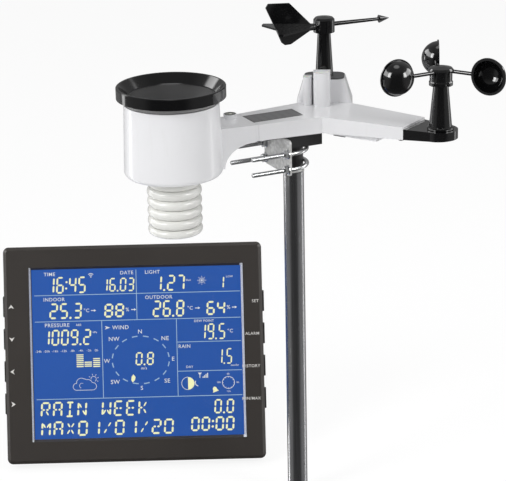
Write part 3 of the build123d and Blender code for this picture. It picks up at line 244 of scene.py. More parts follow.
class Finish(Graph):
    """A procedural material on one Principled surface."""

    def __init__(self, name, **constants):
        self.material = bpy.data.materials.new(name)
        self.material.use_nodes = True
        super().__init__(self.material.node_tree)
        self.surface = self.nodes["Principled BSDF"]
        self.place = self.node("ShaderNodeTexCoord", output="Object")
        for socket, value in constants.items():
            self.set(socket.replace("_", " "), value)

    def set(self, socket, value):
        """Sets or links one socket of the surface."""
        if isinstance(value, Value):
            self.links.new(value.socket, self.surface.inputs[socket])
        else:
            self.surface.inputs[socket].default_value = value

    def vector(self, operation, first, second, output=0):
        return self.node("ShaderNodeVectorMath", {"operation": operation}, {0: first, 1: second}, output)

    def along(self, direction, origin=(0, 0, 0)):
        """Distance in metres along a direction, from a point."""
        start = float(np.dot(direction, origin))
        return self.vector("DOT_PRODUCT", self.place, tuple(direction), "Value") - start

    def reach(self, centre):
        """Distance in metres from an upright line through a point."""
        offset = self.vector("SUBTRACT", self.place, (centre[0], centre[1], 0))
        flat = self.vector("MULTIPLY", offset, (1, 1, 0))
        return self.node("ShaderNodeVectorMath", {"operation": "LENGTH"}, {0: flat}, "Value")

    def noise(self, size, detail=2.0, stretch=(1, 1, 1)):
        """Soft noise whose lumps are about size metres across, drawn out by stretch."""
        where = self.vector("DIVIDE", self.place, stretch)
        return self.node("ShaderNodeTexNoise", {}, {"Vector": where, "Scale": 1 / size, "Detail": detail})

    def blend(self, factor, first, second):
        """A colour between two colours."""
        return self.node("ShaderNodeMix", {"data_type": "RGBA"}, {0: factor, 6: first, 7: second}, 2)

    def bump(self, height, depth):
        """Raises the surface by height times depth metres, in its shading."""
        made = self.node("ShaderNodeBump", {}, {"Strength": 1.0, "Distance": depth, "Height": height})
        self.set("Normal", made)


def set_stops(ramp, stops):
    """Gives a colour ramp its stops, each (place, colour)."""
    while len(ramp.elements) < len(stops):
        ramp.elements.new(0.5)
    for element, (place, colour) in zip(ramp.elements, stops):
        element.position = place
        element.color = colour


def shade(red, green, blue):
    """A linear colour from 0 to 255 screen values."""
    raw = [v / 255 for v in (red, green, blue)]
    linear = [v / 12.92 if v < 0.04045 else ((v + 0.055) / 1.055) ** 2.4 for v in raw]
    return tuple(linear) + (1.0,)


def opaque(colour):
    """A colour setting with its alpha."""
    return tuple(colour) + (1.0,)


def scaled(colour, factor):
    """A colour made lighter or darker."""
    return opaque(min(1.0, channel * factor) for channel in colour[:3])


# Finishes

# The funnel's floor, and the pale band on its skirt outside it, which is a painted reflection of the
# white body: where each starts and ends, as distances from the funnel's axis and depths below its rim
FLOOR_EDGE, FLOOR_TOP = (38.2 * MM, 39.4 * MM), (11 * MM, 7 * MM)
SKIRT_REFLECTION_EDGE, SKIRT_REFLECTION_TOP = (40.2 * MM, 40.8 * MM), (10.6 * MM, 10.2 * MM)
# The trim at the sides of the console's window: its widths, and its depths behind the bezel
LEFT_TRIM, RIGHT_TRIM = 1.6 * MM, 3.0 * MM
TRIM_TOP, TRIM_BOTTOM = 0.08 * MM, 6.0 * MM
THREAD_PITCH = 0.8 * MM
SOLAR_STRIPS, SOLAR_EDGE = 6, 1.6 * MM
FINGER_PITCH = 1.3 * MM
LEVEL_MARK, LEVEL_RADIUS = 2.1 * MM, 4.6 * MM
TRACK_PITCH, LEGEND_PITCH, PADS_PER_METRE = 2.6 * MM, 7 * MM, 260.0
DOT_PITCH = 0.6 * MM
NEAR_BLACK = (0.002, 0.003, 0.006, 1)


def moulded(name, colour, roughness, mottle=0.05):
    """Moulded plastic: pebble grain, slow mottling and fine rubbed marks in its gloss."""
    finish = Finish(name)
    slow = finish.noise(35 * MM, 3)
    rubbed = finish.noise(2.2 * MM, 4, stretch=(3, 3, 1))
    specks = finish.noise(0.8 * MM, 2).step(0.68, 0.74)
    base = finish.blend(slow, scaled(colour, 1 - mottle), scaled(colour, 1 + mottle))
    finish.set("Base Color", finish.blend(specks * 0.12, base, scaled(colour, 0.7)))
    finish.set("Roughness", roughness + (rubbed - 0.5) * roughness * 0.45)
    finish.bump(finish.noise(0.4 * MM, 3) + finish.noise(9 * MM, 1) * 2.0, 0.006 * MM)
    return finish.material


def weathered_white(name, colour):
    """White outdoor plastic: satin, with rain marks down its sides."""
    finish = Finish(name, Specular_IOR_Level=0.45, Coat_Weight=0.35, Coat_Roughness=0.07)
    slow = finish.noise(40 * MM, 3)
    runs = finish.noise(5 * MM, 4, stretch=(1, 1, 9))
    base = finish.blend(slow, scaled(colour, 0.975), scaled(colour, 1.02))
    tinted = finish.blend(runs.step(0.55, 0.8) * 0.10, base, shade(205, 203, 196))
    finish.set("Base Color", tinted)
    finish.set("Roughness", 0.34 + (finish.noise(3 * MM, 4) - 0.5) * 0.14)
    finish.bump(finish.noise(0.5 * MM, 2) + finish.noise(14 * MM, 1) * 3.0, 0.004 * MM)
    return finish.material


def polished_black(name):
    """Glossy black plastic: a clear skin with orange peel, hairline scratches and dust specks."""
    finish = Finish(name, Coat_Weight=0.3, Coat_Roughness=0.03)
    dust = finish.noise(0.9 * MM, 3).step(0.70, 0.76)
    slow = finish.noise(30 * MM, 2)
    base = finish.blend(slow, shade(10, 10, 11), shade(16, 16, 17))
    finish.set("Base Color", finish.blend(dust * 0.15, base, shade(80, 80, 78)))
    hair = finish.noise(0.5 * MM, 3, stretch=(14, 2, 6))
    finish.set("Roughness", 0.10 + hair.step(0.55, 0.8) * 0.10)
    finish.bump(finish.noise(4 * MM, 1) * 2.0 + hair * 0.15, 0.010 * MM)
    return finish.material


def funnel_plastic(name):
    """The funnel: glossy on its rim and steep inner wall, matt and lighter grey on its sloping floor, with a
    pale grey painted reflection of the white body on its skirt.
    """
    rim = top_centre("rain_funnel")
    finish = Finish(name)
    reach = finish.reach(rim)
    height = finish.along((0, 0, 1))
    floor = (1 - reach.step(*FLOOR_EDGE)) * (1 - height.step(*(rim[2] - np.array(FLOOR_TOP))))
    # The pale skirt band is a painted reflection of the white body in the glossy skirt
    skirt_reflection = reach.step(*SKIRT_REFLECTION_EDGE) * (1 - height.step(*(rim[2] - np.array(SKIRT_REFLECTION_TOP))))
    grit = finish.noise(0.7 * MM, 3)
    dull = finish.blend(grit, shade(30, 30, 31), shade(42, 42, 42))
    black = finish.blend(finish.noise(20 * MM), shade(8, 8, 9), shade(14, 14, 15))
    painted = finish.blend(floor, black, dull)
    # Painted reflection: the skirt band is coloured pale grey where the glossy black would mirror the white
    # body
    finish.set("Base Color", finish.blend(skirt_reflection, painted, shade(150, 150, 150)))
    finish.set("Roughness", 0.11 + floor * 0.42 + skirt_reflection * 0.2 + (grit - 0.5) * 0.05)
    finish.bump(grit * (0.2 + floor) + finish.noise(5 * MM, 1) * 1.5, 0.010 * MM)
    return finish.material


def case_plastic(name, settings):
    """The console's dark case, with the bright trim round the window's sides."""
    finish = Finish(name, Specular_IOR_Level=0.4)
    wide, deep, tall = DISPLAY.rows
    low, high = DISPLAY.extent("lcd_panel")
    across = finish.along(wide, DISPLAY.centre)
    front = DISPLAY.extent("console_bezel")[0][1]
    sunk = finish.along(deep, DISPLAY.world((0, front, 0)))
    left = (across < low[0] + LEFT_TRIM) * (across > low[0] - 0.1 * MM)
    right = (across > high[0] - RIGHT_TRIM) * (across < high[0] + 0.1 * MM)
    level = abs(finish.along(tall, DISPLAY.centre))
    side = (left + right) * (level < high[2] + 0.6 * MM) * (sunk > TRIM_TOP) * (sunk < TRIM_BOTTOM)
    slow = finish.noise(45 * MM, 3)
    colour = opaque(settings.case_colour)
    grain = finish.noise(0.45 * MM, 2)
    base = finish.blend(slow, scaled(colour, 0.94), scaled(colour, 1.06))
    finish.set("Base Color", finish.blend(side, base, shade(222, 224, 228)))
    finish.set("Metallic", side * 0.3)
    finish.set("Roughness", 0.42 + (grain - 0.5) * 0.2 - side * 0.14)
    finish.bump(grain * (1 - side) + finish.noise(7 * MM, 1), 0.008 * MM)
    return finish.material


def drawn_tube(name):
    """A drawn and polished steel tube: long streaks, dulled patches and fine rings from its making."""
    finish = Finish(name, Metallic=1.0)
    streak = finish.noise(0.9 * MM, 4, stretch=(1, 1, 60))
    patch = finish.noise(25 * MM, 4, stretch=(1, 1, 3))
    rings = finish.noise(0.5 * MM, 2, stretch=(40, 40, 1))
    base = finish.blend(streak, shade(138, 138, 140), shade(190, 190, 192))
    finish.set("Base Color", finish.blend(patch.step(0.5, 0.8) * 0.35, base, shade(118, 117, 114)))
    finish.set("Roughness", 0.20 + patch * 0.10 + (streak - 0.5) * 0.10)
    finish.bump(streak + rings * 0.3, 0.006 * MM)
    return finish.material


def spangled_zinc(name):
    """Hot-dip galvanised plate: crystals of differing brightness with dull grain boundaries."""
    finish = Finish(name)
    warp = finish.noise(3 * MM, 2)
    cells = finish.node("ShaderNodeTexVoronoi", {"distance": "EUCLIDEAN"},
                        {"Vector": finish.place, "Scale": 1 / (3.2 * MM)}, "Color")
    tone = finish.node("ShaderNodeSeparateColor", {}, {0: cells}, 0)
    fine = finish.noise(0.6 * MM, 4)
    mixed = tone * 0.55 + fine * 0.3 + warp * 0.15
    greys = [(0.2, shade(186, 186, 185)), (0.5, shade(203, 203, 202)), (0.8, shade(220, 220, 219))]
    base = finish.node("ShaderNodeValToRGB", {"stops": greys}, {0: mixed})
    finish.set("Base Color", base)
    finish.set("Metallic", 0.22 + tone * 0.12)
    finish.set("Roughness", 0.38 + mixed * 0.25)
    finish.bump(fine + tone * 0.4, 0.012 * MM)
    return finish.material


def plated_rod(name):
    """Zinc-plated rod: bright, faintly blue, with dull rubbed bands round it."""
    finish = Finish(name, Metallic=1.0)
    along = finish.along(ARM.rows[0])
    bands = (along * (2 * math.pi / THREAD_PITCH)).sine() * 0.5 + 0.5
    cloud = finish.noise(4 * MM, 4)
    finish.set("Base Color", finish.blend(cloud, shade(188, 189, 190), shade(226, 227, 228)))
    finish.set("Roughness", 0.16 + cloud * 0.10)
    finish.bump(finish.noise(0.6 * MM, 2) + bands * 0.2, 0.004 * MM)
    return finish.material


def polished_steel(name, tint):
    """Turned and polished steel with fine tool marks."""
    finish = Finish(name, Metallic=1.0)
    marks = finish.noise(0.3 * MM, 3, stretch=(20, 20, 1))
    finish.set("Base Color", finish.blend(finish.noise(5 * MM, 3), scaled(tint, 0.88), tint))
    finish.set("Roughness", 0.16 + marks * 0.14)
    finish.bump(marks, 0.003 * MM)
    return finish.material


def laminated_cell(name):
    """A solar panel: dark silicon strips with fine silver fingers under a clear laminate."""
    low, high = ARM.extent("solar_panel")
    finish = Finish(name, Coat_Weight=1.0, Coat_Roughness=0.03, Roughness=0.35)
    along = finish.along(ARM.rows[0], ARM.centre)
    across = finish.along(ARM.rows[1], ARM.centre)
    strip = (high[0] - low[0] - 3 * MM) / SOLAR_STRIPS
    seam = abs((along / strip).wrapped() - 0.5) > 0.46
    finger = abs((across / FINGER_PITCH).wrapped() - 0.5) > 0.43
    bus = abs((along / strip + 0.5).wrapped() - 0.5) > 0.475
    inside = (abs(along) < high[0] - SOLAR_EDGE) * (abs(across) < high[1] - SOLAR_EDGE)
    crystal = finish.noise(2.5 * MM, 4, stretch=(1, 3, 1))
    silicon = finish.blend(crystal, shade(58, 59, 62), shade(78, 79, 82))
    lined = finish.blend(finger * 0.25, silicon, shade(104, 105, 108))
    lined = finish.blend(bus * 0.4, lined, shade(118, 119, 121))
    lined = finish.blend(seam, lined, shade(38, 38, 40))
    finish.set("Base Color", finish.blend(inside, shade(16, 16, 17), lined))
    finish.bump(finger * 0.4 + crystal * 0.2, 0.01 * MM)
    return finish.material


def frosted_lens(name):
    """A milky sensor diffuser with a finely etched face."""
    finish = Finish(name, Subsurface_Weight=0.3, Subsurface_Scale=0.002)
    etched = finish.noise(0.3 * MM, 3)
    finish.set("Base Color", finish.blend(finish.noise(6 * MM), shade(233, 233, 228), shade(246, 246, 243)))
    finish.set("Roughness", 0.38 + etched * 0.15)
    finish.bump(etched, 0.01 * MM)
    return finish.material


def level_fluid(name, settings):
    """The round level: greenish fluid, darker outwards, with a ring printed round the middle."""
    finish = Finish(name, Coat_Weight=1.0, Coat_Roughness=0.02, Roughness=0.12)
    reach = finish.reach(top_centre("level_vial"))
    ring = abs(reach - LEVEL_MARK) < 0.16 * MM
    colour = opaque(settings.fluid_colour)
    fluid = finish.blend(reach / LEVEL_RADIUS, colour, scaled(colour, 0.55))
    finish.set("Base Color", finish.blend(ring, fluid, shade(20, 22, 18)))
    finish.bump(finish.noise(2 * MM, 1), 0.01 * MM)
    return finish.material


def printed_board(name):
    """Green circuit board: solder mask over copper tracks, with tinned pads and a pale legend."""
    finish = Finish(name)
    x, y, z = (finish.along(axis) for axis in ((1, 0, 0), (0, 1, 0), (0, 0, 1)))
    wander = finish.noise(6 * MM, 0)
    tracks = abs(((x + z + wander * 9 * MM) / TRACK_PITCH).wrapped() - 0.5) < 0.14
    pads = finish.node("ShaderNodeTexVoronoi", {"feature": "F1"},
                       {"Vector": finish.place, "Scale": PADS_PER_METRE}) < 0.22
    legend = (abs(((y - z) / LEGEND_PITCH).wrapped() - 0.5) < 0.03) * (finish.noise(3 * MM, 0) > 0.52)
    mask = finish.blend(tracks, shade(16, 74, 42), shade(30, 102, 58))
    mask = finish.blend(legend, mask, shade(225, 228, 220))
    finish.set("Base Color", finish.blend(pads, mask, shade(200, 200, 196)))
    finish.set("Metallic", pads * 0.9)
    finish.set("Roughness", 0.35 - pads * 0.1 + finish.noise(2 * MM) * 0.1)
    finish.bump(tracks * 0.5 + pads, 0.03 * MM)
    return finish.material


def battery_wrap(name, node):
    """Cell wrapper: a grey jacket with a coppery end band and a printed line beside it."""
    finish = Finish(name, Coat_Weight=0.6)
    middle, directions = box_directions(node)
    run = finish.along(directions[0], middle)
    end = run.step(9 * MM, 9.4 * MM)
    line = abs(run - 8 * MM) < 0.5 * MM
    body = finish.blend(finish.noise(12 * MM), shade(70, 72, 76), shade(88, 90, 95))
    body = finish.blend(end, body, shade(176, 116, 60))
    finish.set("Base Color", finish.blend(line, body, shade(230, 230, 226)))
    finish.set("Metallic", end * 0.6)
    finish.set("Roughness", 0.3 + finish.noise(1.5 * MM, 3) * 0.12)
    return finish.material


def clear_window(name):
    """The display window: clear acrylic with the faintest smear in its gloss."""
    finish = Finish(name, Transmission_Weight=1.0, IOR=1.1, Base_Color=(1, 1, 1, 1))
    finish.set("Roughness", finish.noise(9 * MM, 3).step(0.5, 0.9) * 0.02)
    return finish.material


def backlit_blue(name, settings):
    """The display: a blue lit front, a little deeper towards its lower right, with a fine dot grid.

    Its sides and back are a dull pressed-metal tray and give no light."""
    finish = Finish(name, Roughness=0.5, Specular_IOR_Level=0.1, Emission_Strength=1.0)
    wide, deep, tall = DISPLAY.rows
    u = finish.along(wide, DISPLAY.centre)
    v = finish.along(tall, DISPLAY.centre)
    high = DISPLAY.extent("lcd_panel")[1]
    slide = (u / (2 * high[0]) - v / (2 * high[2])) * 0.5 + 0.5
    field = opaque(settings.field_colour)
    glow = finish.blend(slide, scaled(field, 1.05), scaled(field, 0.88))
    wave = 2 * math.pi / DOT_PITCH
    weave = (u * wave).sine() * (v * wave).sine()
    patch = finish.noise(40 * MM, 2)
    glow = finish.blend(weave * 0.05 + patch * 0.12, glow, scaled(field, 1.5))
    front = finish.along(deep, DISPLAY.centre) < 0.1 * MM
    tray = finish.blend(finish.noise(4 * MM, 3), shade(96, 97, 99), shade(118, 119, 121))
    finish.set("Emission Color", finish.blend(front, (0, 0, 0, 1), glow))
    finish.set("Base Color", finish.blend(front, tray, NEAR_BLACK))
    return finish.material


def glowing(name, colour, strength=1.0):
    """Clear areas of the display, where the backlight shows through."""
    finish = Finish(name, Base_Color=(0.002, 0.002, 0.002, 1), Roughness=0.6, Emission_Strength=strength,
                    Specular_IOR_Level=0.0)
    uneven = finish.noise(5 * MM, 2)
    finish.set("Emission Color", finish.blend(uneven, scaled(colour, 0.86), colour))
    return finish.material


def print_ink(name, colour):
    """Screen-printed ink, slightly raised and uneven."""
    finish = Finish(name)
    uneven = finish.noise(0.5 * MM, 3)
    finish.set("Base Color", finish.blend(uneven, scaled(colour, 0.8), colour))
    finish.set("Roughness", 0.45 + uneven * 0.2)
    return finish.material


# Mesh makers

def mesh_piece(name, vertices, faces, body, slot, material, smooth=True):
    """A new piece from arrays, in the row frame, riding on a body."""
    mesh = bpy.data.meshes.new(name)
    mesh.from_pydata(np.asarray(vertices, float).tolist(), [], [list(map(int, face)) for face in faces])
    mesh.update()
    mesh.polygons.foreach_set("use_smooth", [smooth] * len(mesh.polygons))
    mesh.materials.append(material)
    piece = bpy.data.objects.new(name, mesh)
    bpy.context.scene.collection.objects.link(piece)
    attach(piece, body)
    return piece


def grid_faces(rows, columns, wrap_rows=False, wrap_columns=False):
    """The quads between neighbouring points of a rows by columns grid."""
    index = np.arange(rows * columns).reshape(rows, columns)
    if wrap_rows:
        index = np.vstack([index, index[:1]])
    if wrap_columns:
        index = np.hstack([index, index[:, :1]])
    return np.stack([index[:-1, :-1], index[:-1, 1:], index[1:, 1:], index[1:, :-1]], axis=-1).reshape(-1, 4)


def joined(parts):
    """Vertex and face arrays of several parts as one pair."""
    vertices, faces, start = [], [], 0
    for points, cells in parts:
        vertices.append(np.asarray(points, float))
        faces += [[int(i) + start for i in cell] for cell in cells]
        start += len(points)
    return np.vstack(vertices), faces


def lathe(profile, steps=64):
    """A closed outline of (radius, height) points turned about Z: x = r cos a, y = r sin a, z = h."""
    outline = np.array(profile, float)
    angle = np.linspace(0, 2 * math.pi, steps, endpoint=False)
    radius = outline[:, :1]
    points = np.stack([radius * np.cos(angle), radius * np.sin(angle), outline[:, 1:] + 0 * angle], axis=-1)
    return points.reshape(-1, 3), grid_faces(len(outline), steps, wrap_rows=True, wrap_columns=True)


def thread(radius, height, pitch, length, steps=18):
    """A screw thread along X: the radius follows the distance along, less the share of a turn times the
    pitch, and fades at both ends."""
    rows = int(length / pitch * 6)
    along = np.linspace(0, length, rows)[:, None]
    angle = np.linspace(0, 2 * math.pi, steps, endpoint=False)[None, :]
    phase = (along / pitch - angle / (2 * math.pi)) % 1.0
    fade = np.clip(np.minimum(along, length - along) / pitch, 0, 1)
    reach = radius + height * fade * (1 - np.abs(2 * phase - 1)) - 0.02 * MM * (1 - fade)
    points = np.stack([along + 0 * angle, reach * np.cos(angle), reach * np.sin(angle)], axis=-1)
    return points.reshape(-1, 3), grid_faces(rows, steps, wrap_columns=True)


def stroke(points, width, closed=False):
    """A flat band along a line of (u, v) points: each point is moved half the width to both sides."""
    line = np.array(points, float)
    if closed:
        ahead, behind = np.roll(line, -1, axis=0), np.roll(line, 1, axis=0)
    else:
        ahead = np.vstack([line[1:], line[-1:] * 2 - line[-2:-1]])
        behind = np.vstack([line[:1] * 2 - line[1:2], line[:-1]])
    along = ahead - behind
    along /= np.linalg.norm(along, axis=1, keepdims=True)
    side = np.stack([-along[:, 1], along[:, 0]], axis=1) * width / 2
    both = np.stack([line - side, line + side], axis=1).reshape(-1, 2)
    return both, grid_faces(len(line), 2, wrap_rows=closed)


def arc(centre, radius, start, end, count=24, squash=1.0):
    """Points on a circle or ellipse between two angles in degrees."""
    angle = np.radians(np.linspace(start, end, count))
    return np.stack([centre[0] + radius * np.cos(angle), centre[1] + radius * squash * np.sin(angle)], axis=1)


def patch(points):
    """One flat filled outline."""
    return np.array(points, float), [list(range(len(points)))]


def turned(outline, degrees):
    """A flat outline turned about its origin."""
    a = math.radians(degrees)
    return np.array(outline) @ np.array(((math.cos(a), math.sin(a)), (-math.sin(a), math.cos(a))))


# Display characters

SEGMENT_ENDS = {
    "a": ((0, 2), (1, 2)), "b": ((1, 2), (1, 1)), "c": ((1, 1), (1, 0)), "d": ((0, 0), (1, 0)),
    "e": ((0, 1), (0, 0)), "f": ((0, 2), (0, 1)), "g": ((0, 1), (1, 1)), "h": ((0, 1), (0.5, 1)),
    "i": ((0.5, 1), (1, 1)), "j": ((0, 2), (0.5, 1)), "k": ((0.5, 2), (0.5, 1)), "l": ((1, 2), (0.5, 1)),
    "m": ((0.5, 1), (1, 0)), "n": ((0.5, 1), (0.5, 0)), "o": ((0.5, 1), (0, 0)),
}
SEVEN = {
    "0": "abcdef", "1": "bc", "2": "abged", "3": "abgcd", "4": "fgbc", "5": "afgcd", "6": "afgedc",
    "7": "abc", "8": "abcdefg", "9": "abcdfg",
}
STARRED = {
    "R": "abefhim", "A": "abcefhi", "I": "adkn", "N": "bcefjm", "W": "bcefom", "E": "adefhi", "K": "efhlm",
    "M": "bcefjl", "X": "jlmo", "/": "lo", "0": "abcdef", "1": "bc", "2": "abhied", " ": "",
}
POINT_SHARE = 0.42  # the width of a point or colon, as a share of a digit's
SLANT = 0.07
WORD_SIZE = 1.42  # font size for a capital height of 1
WORD_WEIGHT = 0.008  # how far letters are thickened, as a share of their height
WORD_SPACING = 1.1
FIT = np.array((0.98, 0.97))


def segment(key, width, height, bar):
    """One bar of a display character, with pointed ends, inside its cell."""
    (u0, v0), (u1, v1) = SEGMENT_ENDS[key]
    inner = np.array((width - bar, (height - bar) / 2))
    start = np.array((u0, v0)) * inner + bar / 2
    end = np.array((u1, v1)) * inner + bar / 2
    run = (end - start) / np.linalg.norm(end - start)
    slim = 0.72 if key in "jlmo" else 1.0
    side = np.array((-run[1], run[0])) * bar / 2 * slim
    inset = 0.75 * bar if key in "jlmo" else 0.24 * bar
    start = start + run * inset
    end = end - run * inset
    tip = run * bar / 2
    return patch([start, start + tip + side, end - tip + side, end, end - tip - side, start + tip - side])


def characters(text, left, right, low, high, table=SEVEN, bar=0.225, gap=0.24):
    """A line of display characters that fills a rectangle."""
    marks = sum(c in ".:" for c in text)
    cells = len(text) - marks
    width = (right - left) / (cells + gap * (cells - 1) + POINT_SHARE * marks)
    tall = high - low
    thick = bar * width
    at, parts = left, []
    for c in text:
        if c in ".:":
            spot = at + (POINT_SHARE - gap) * width / 2
            heights = (thick * 0.5,) if c == "." else (tall * 0.3, tall * 0.68)
            for height in heights:
                parts.append(patch(arc((spot, height), thick * 0.62, 0, 330, 12)))
            at += POINT_SHARE * width
            continue
        for key in table[c]:
            points, faces = segment(key, width, tall, thick)
            parts.append((points + (at, 0), faces))
        at += width * (1 + gap)
    lean = np.array(((1, 0), (SLANT, 1)))
    return [((points - (0, tall / 2)) @ lean + (0, tall / 2 + low), faces) for points, faces in parts]


def lettering(entries):
    """Words set in the plain built-in face, each (text, u, v, capital height, alignment), as flat parts."""
    parts = []
    for text, u, v, size, align in entries:
        curve = bpy.data.curves.new("word", "FONT")
        curve.body = text
        curve.align_x = align
        curve.align_y = "CENTER"
        curve.size = size * WORD_SIZE
        curve.space_character = WORD_SPACING
        curve.resolution_u = 3
        curve.offset = size * WORD_WEIGHT
        holder = bpy.data.objects.new("word", curve)
        bpy.context.scene.collection.objects.link(holder)
        bpy.context.view_layer.update()
        mesh = bpy.data.meshes.new_from_object(holder.evaluated_get(bpy.context.evaluated_depsgraph_get()))
        cells = [list(polygon.vertices) for polygon in mesh.polygons]
        parts.append((vertex_rows(mesh)[:, :2] + (u, v), cells))
        bpy.data.objects.remove(holder)
        bpy.data.curves.remove(curve)
        bpy.data.meshes.remove(mesh)
    return parts


def fitted(parts):
    """Flat parts drawn in to the window's clear area."""
    return [(points * FIT, cells) for points, cells in parts]


def printed(name, parts, front, body, slot, material):
    """Flat parts in millimetres laid on the console at a depth in front of the display's face."""
    points, cells = joined(parts)
    local = np.stack([points[:, 0], np.full(len(points), -front), points[:, 1]], axis=1) * MM
    return mesh_piece(name, DISPLAY.world(local), cells, body, slot, material, smooth=False)


# What the display shows, in millimetres from its centre: characters fill (left, right, low, high), words
# have a centre and a height, rules two ends, and pressure columns (left, right, top, rows)

NUMBERS = (
    ("16:45", -90.8, -51.3, 62.2, 79.3), ("16.03", -35.3, -2.1, 63.0, 77.0), ("1.27", 18.2, 49.4, 62.4, 78.7),
    ("25.3", -88.8, -56.0, 36.1, 52.3), ("88", -33.0, -13.0, 36.4, 50.6), ("26.8", 16.4, 48.3, 35.7, 52.7),
    ("64", 71.0, 90.0, 36.4, 50.8), ("1009.2", -96.9, -47.3, 8.8, 25.1), ("0.8", -2.3, 16.1, -13.5, 0.0),
    ("19.5", 63.0, 89.5, 11.4, 27.8), ("1", 83.5, 89.5, 63.4, 76.4), ("1.5", 80.5, 95.9, -14.1, 1.9),
    ("0.0", 76.7, 96.6, -64.9, -50.2), ("00:00", 52.6, 96.6, -82.6, -68.0),
)
MESSAGES = (("RAIN WEEK", -100.0, 8.8, -65.0, -49.0), ("MAX01/01/20", -100.0, 34.7, -84.5, -69.0))
LABELS = (
    ("TIME", -88, 82, 3.6), ("DATE", -9.5, 82, 3.6), ("LIGHT", 16.6, 82, 3.6), ("INDOOR", -84, 56, 3.6),
    ("OUTDOOR", 22.5, 56, 3.6), ("PRESSURE", -81.5, 29.5, 3.8), ("ABS", -59.6, 29.5, 2.2),
    ("WIND", -17, 25.8, 4.0), ("DEW POINT", 68, 30.6, 2.4), ("RAIN", 47.6, 4.8, 3.6),
    ("DAY", 52.4, -16.4, 2.4),
    ("°C", -51.2, 44.0, 3.6), ("%", -9.6, 44.0, 3.8), ("°C", 54.2, 44.0, 3.6), ("%", 93.4, 44.0, 3.8),
    ("°C", 94.6, 19.6, 3.6), ("hPa", -43.2, 21.6, 2.0), ("m/s", 6.0, -16.6, 2.8), ("mm/hr", 98.4, -15.6, 2.0),
    ("klux", 53.2, 73, 2.0), ("LOW", 95.0, 75.6, 2.0),
    ("N", 2.7, 21, 4.2), ("NE", 28, 13.5, 4.2), ("E", 35.7, -7.8, 4.2), ("SE", 29.3, -30.2, 4.2),
    ("S", 3.3, -37, 4.2), ("SW", -23.7, -30.2, 4.2), ("W", -31.6, -8.5, 4.2), ("NW", -24, 14, 4.2),
    ("-24h", -101, 3.0, 2.3), ("-20h", -92.6, 3.0, 2.3), ("-16h", -84.2, 3.0, 2.3), ("-12h", -75.4, 3.0, 2.3),
    ("-8h", -66.4, 3.0, 2.3), ("-4h", -58.0, 3.0, 2.3), ("-2h", -49.6, 3.0, 2.3), ("0h", -42.0, 3.0, 2.3),
    ("0h", 91.5, -24.6, 1.8), ("6h", 101.0, -33.4, 1.8), ("12h", 91.5, -42.4, 1.8), ("18h", 81.6, -33.0, 1.8),
)
RULES = (
    (0, 85, 0, 34), (-104, 60.5, 105.5, 60.5), (-104, 33.5, 105.5, 33.5), (-36, 33.5, -36, -46.3),
    (40, 33.5, 40, -46.3), (40, 9.4, 105.5, 9.4), (40, -20.6, 105.5, -20.6), (-104, -46.3, 105.5, -46.3),
)
SIGNAL, LIGHT_SUN, CLOUD_SUN = (-46, 78.6), (66.8, 72.3), (-45.6, -26.4)
MOON, CLOCK = (50.4, -33.3), (91.5, -33.4)
TREND_ARROWS = ((-46.0, 44.0), (-5.2, 44.0), (60.0, 44.0), (97.4, 44.0))
SIGNAL_BARS = (1.4, 2.6, 3.8, 5.0)
BELL = ((-3.2, -2.2), (3.2, -2.2), (2.2, -0.6), (1.9, 2.0), (0, 3.4), (-1.9, 2.0), (-2.2, -0.6))
POINTER = ((-6.0, -31.0), (-3.6, -28.6), (-2.9, -25.6), (-4.9, -22.6), (-6.9, -25.0), (-7.3, -28.4))
STACKS = ((-62.5, -55.4, -1.3, 7), (-54.4, -47.0, -9.0, 3), (-45.6, -38.6, -5.5, 5))


def arrow(u, v, size):
    """A solid triangle pointing right."""
    return patch([(u, v - size * 0.6), (u + size, v), (u, v + size * 0.6)])


def rays(centre, near, far, turns, width):
    """Short lines pointing away from a centre, one for each turn in degrees."""
    return [stroke(turned([(near, 0), (far, 0)], turn) + centre, width) for turn in turns]


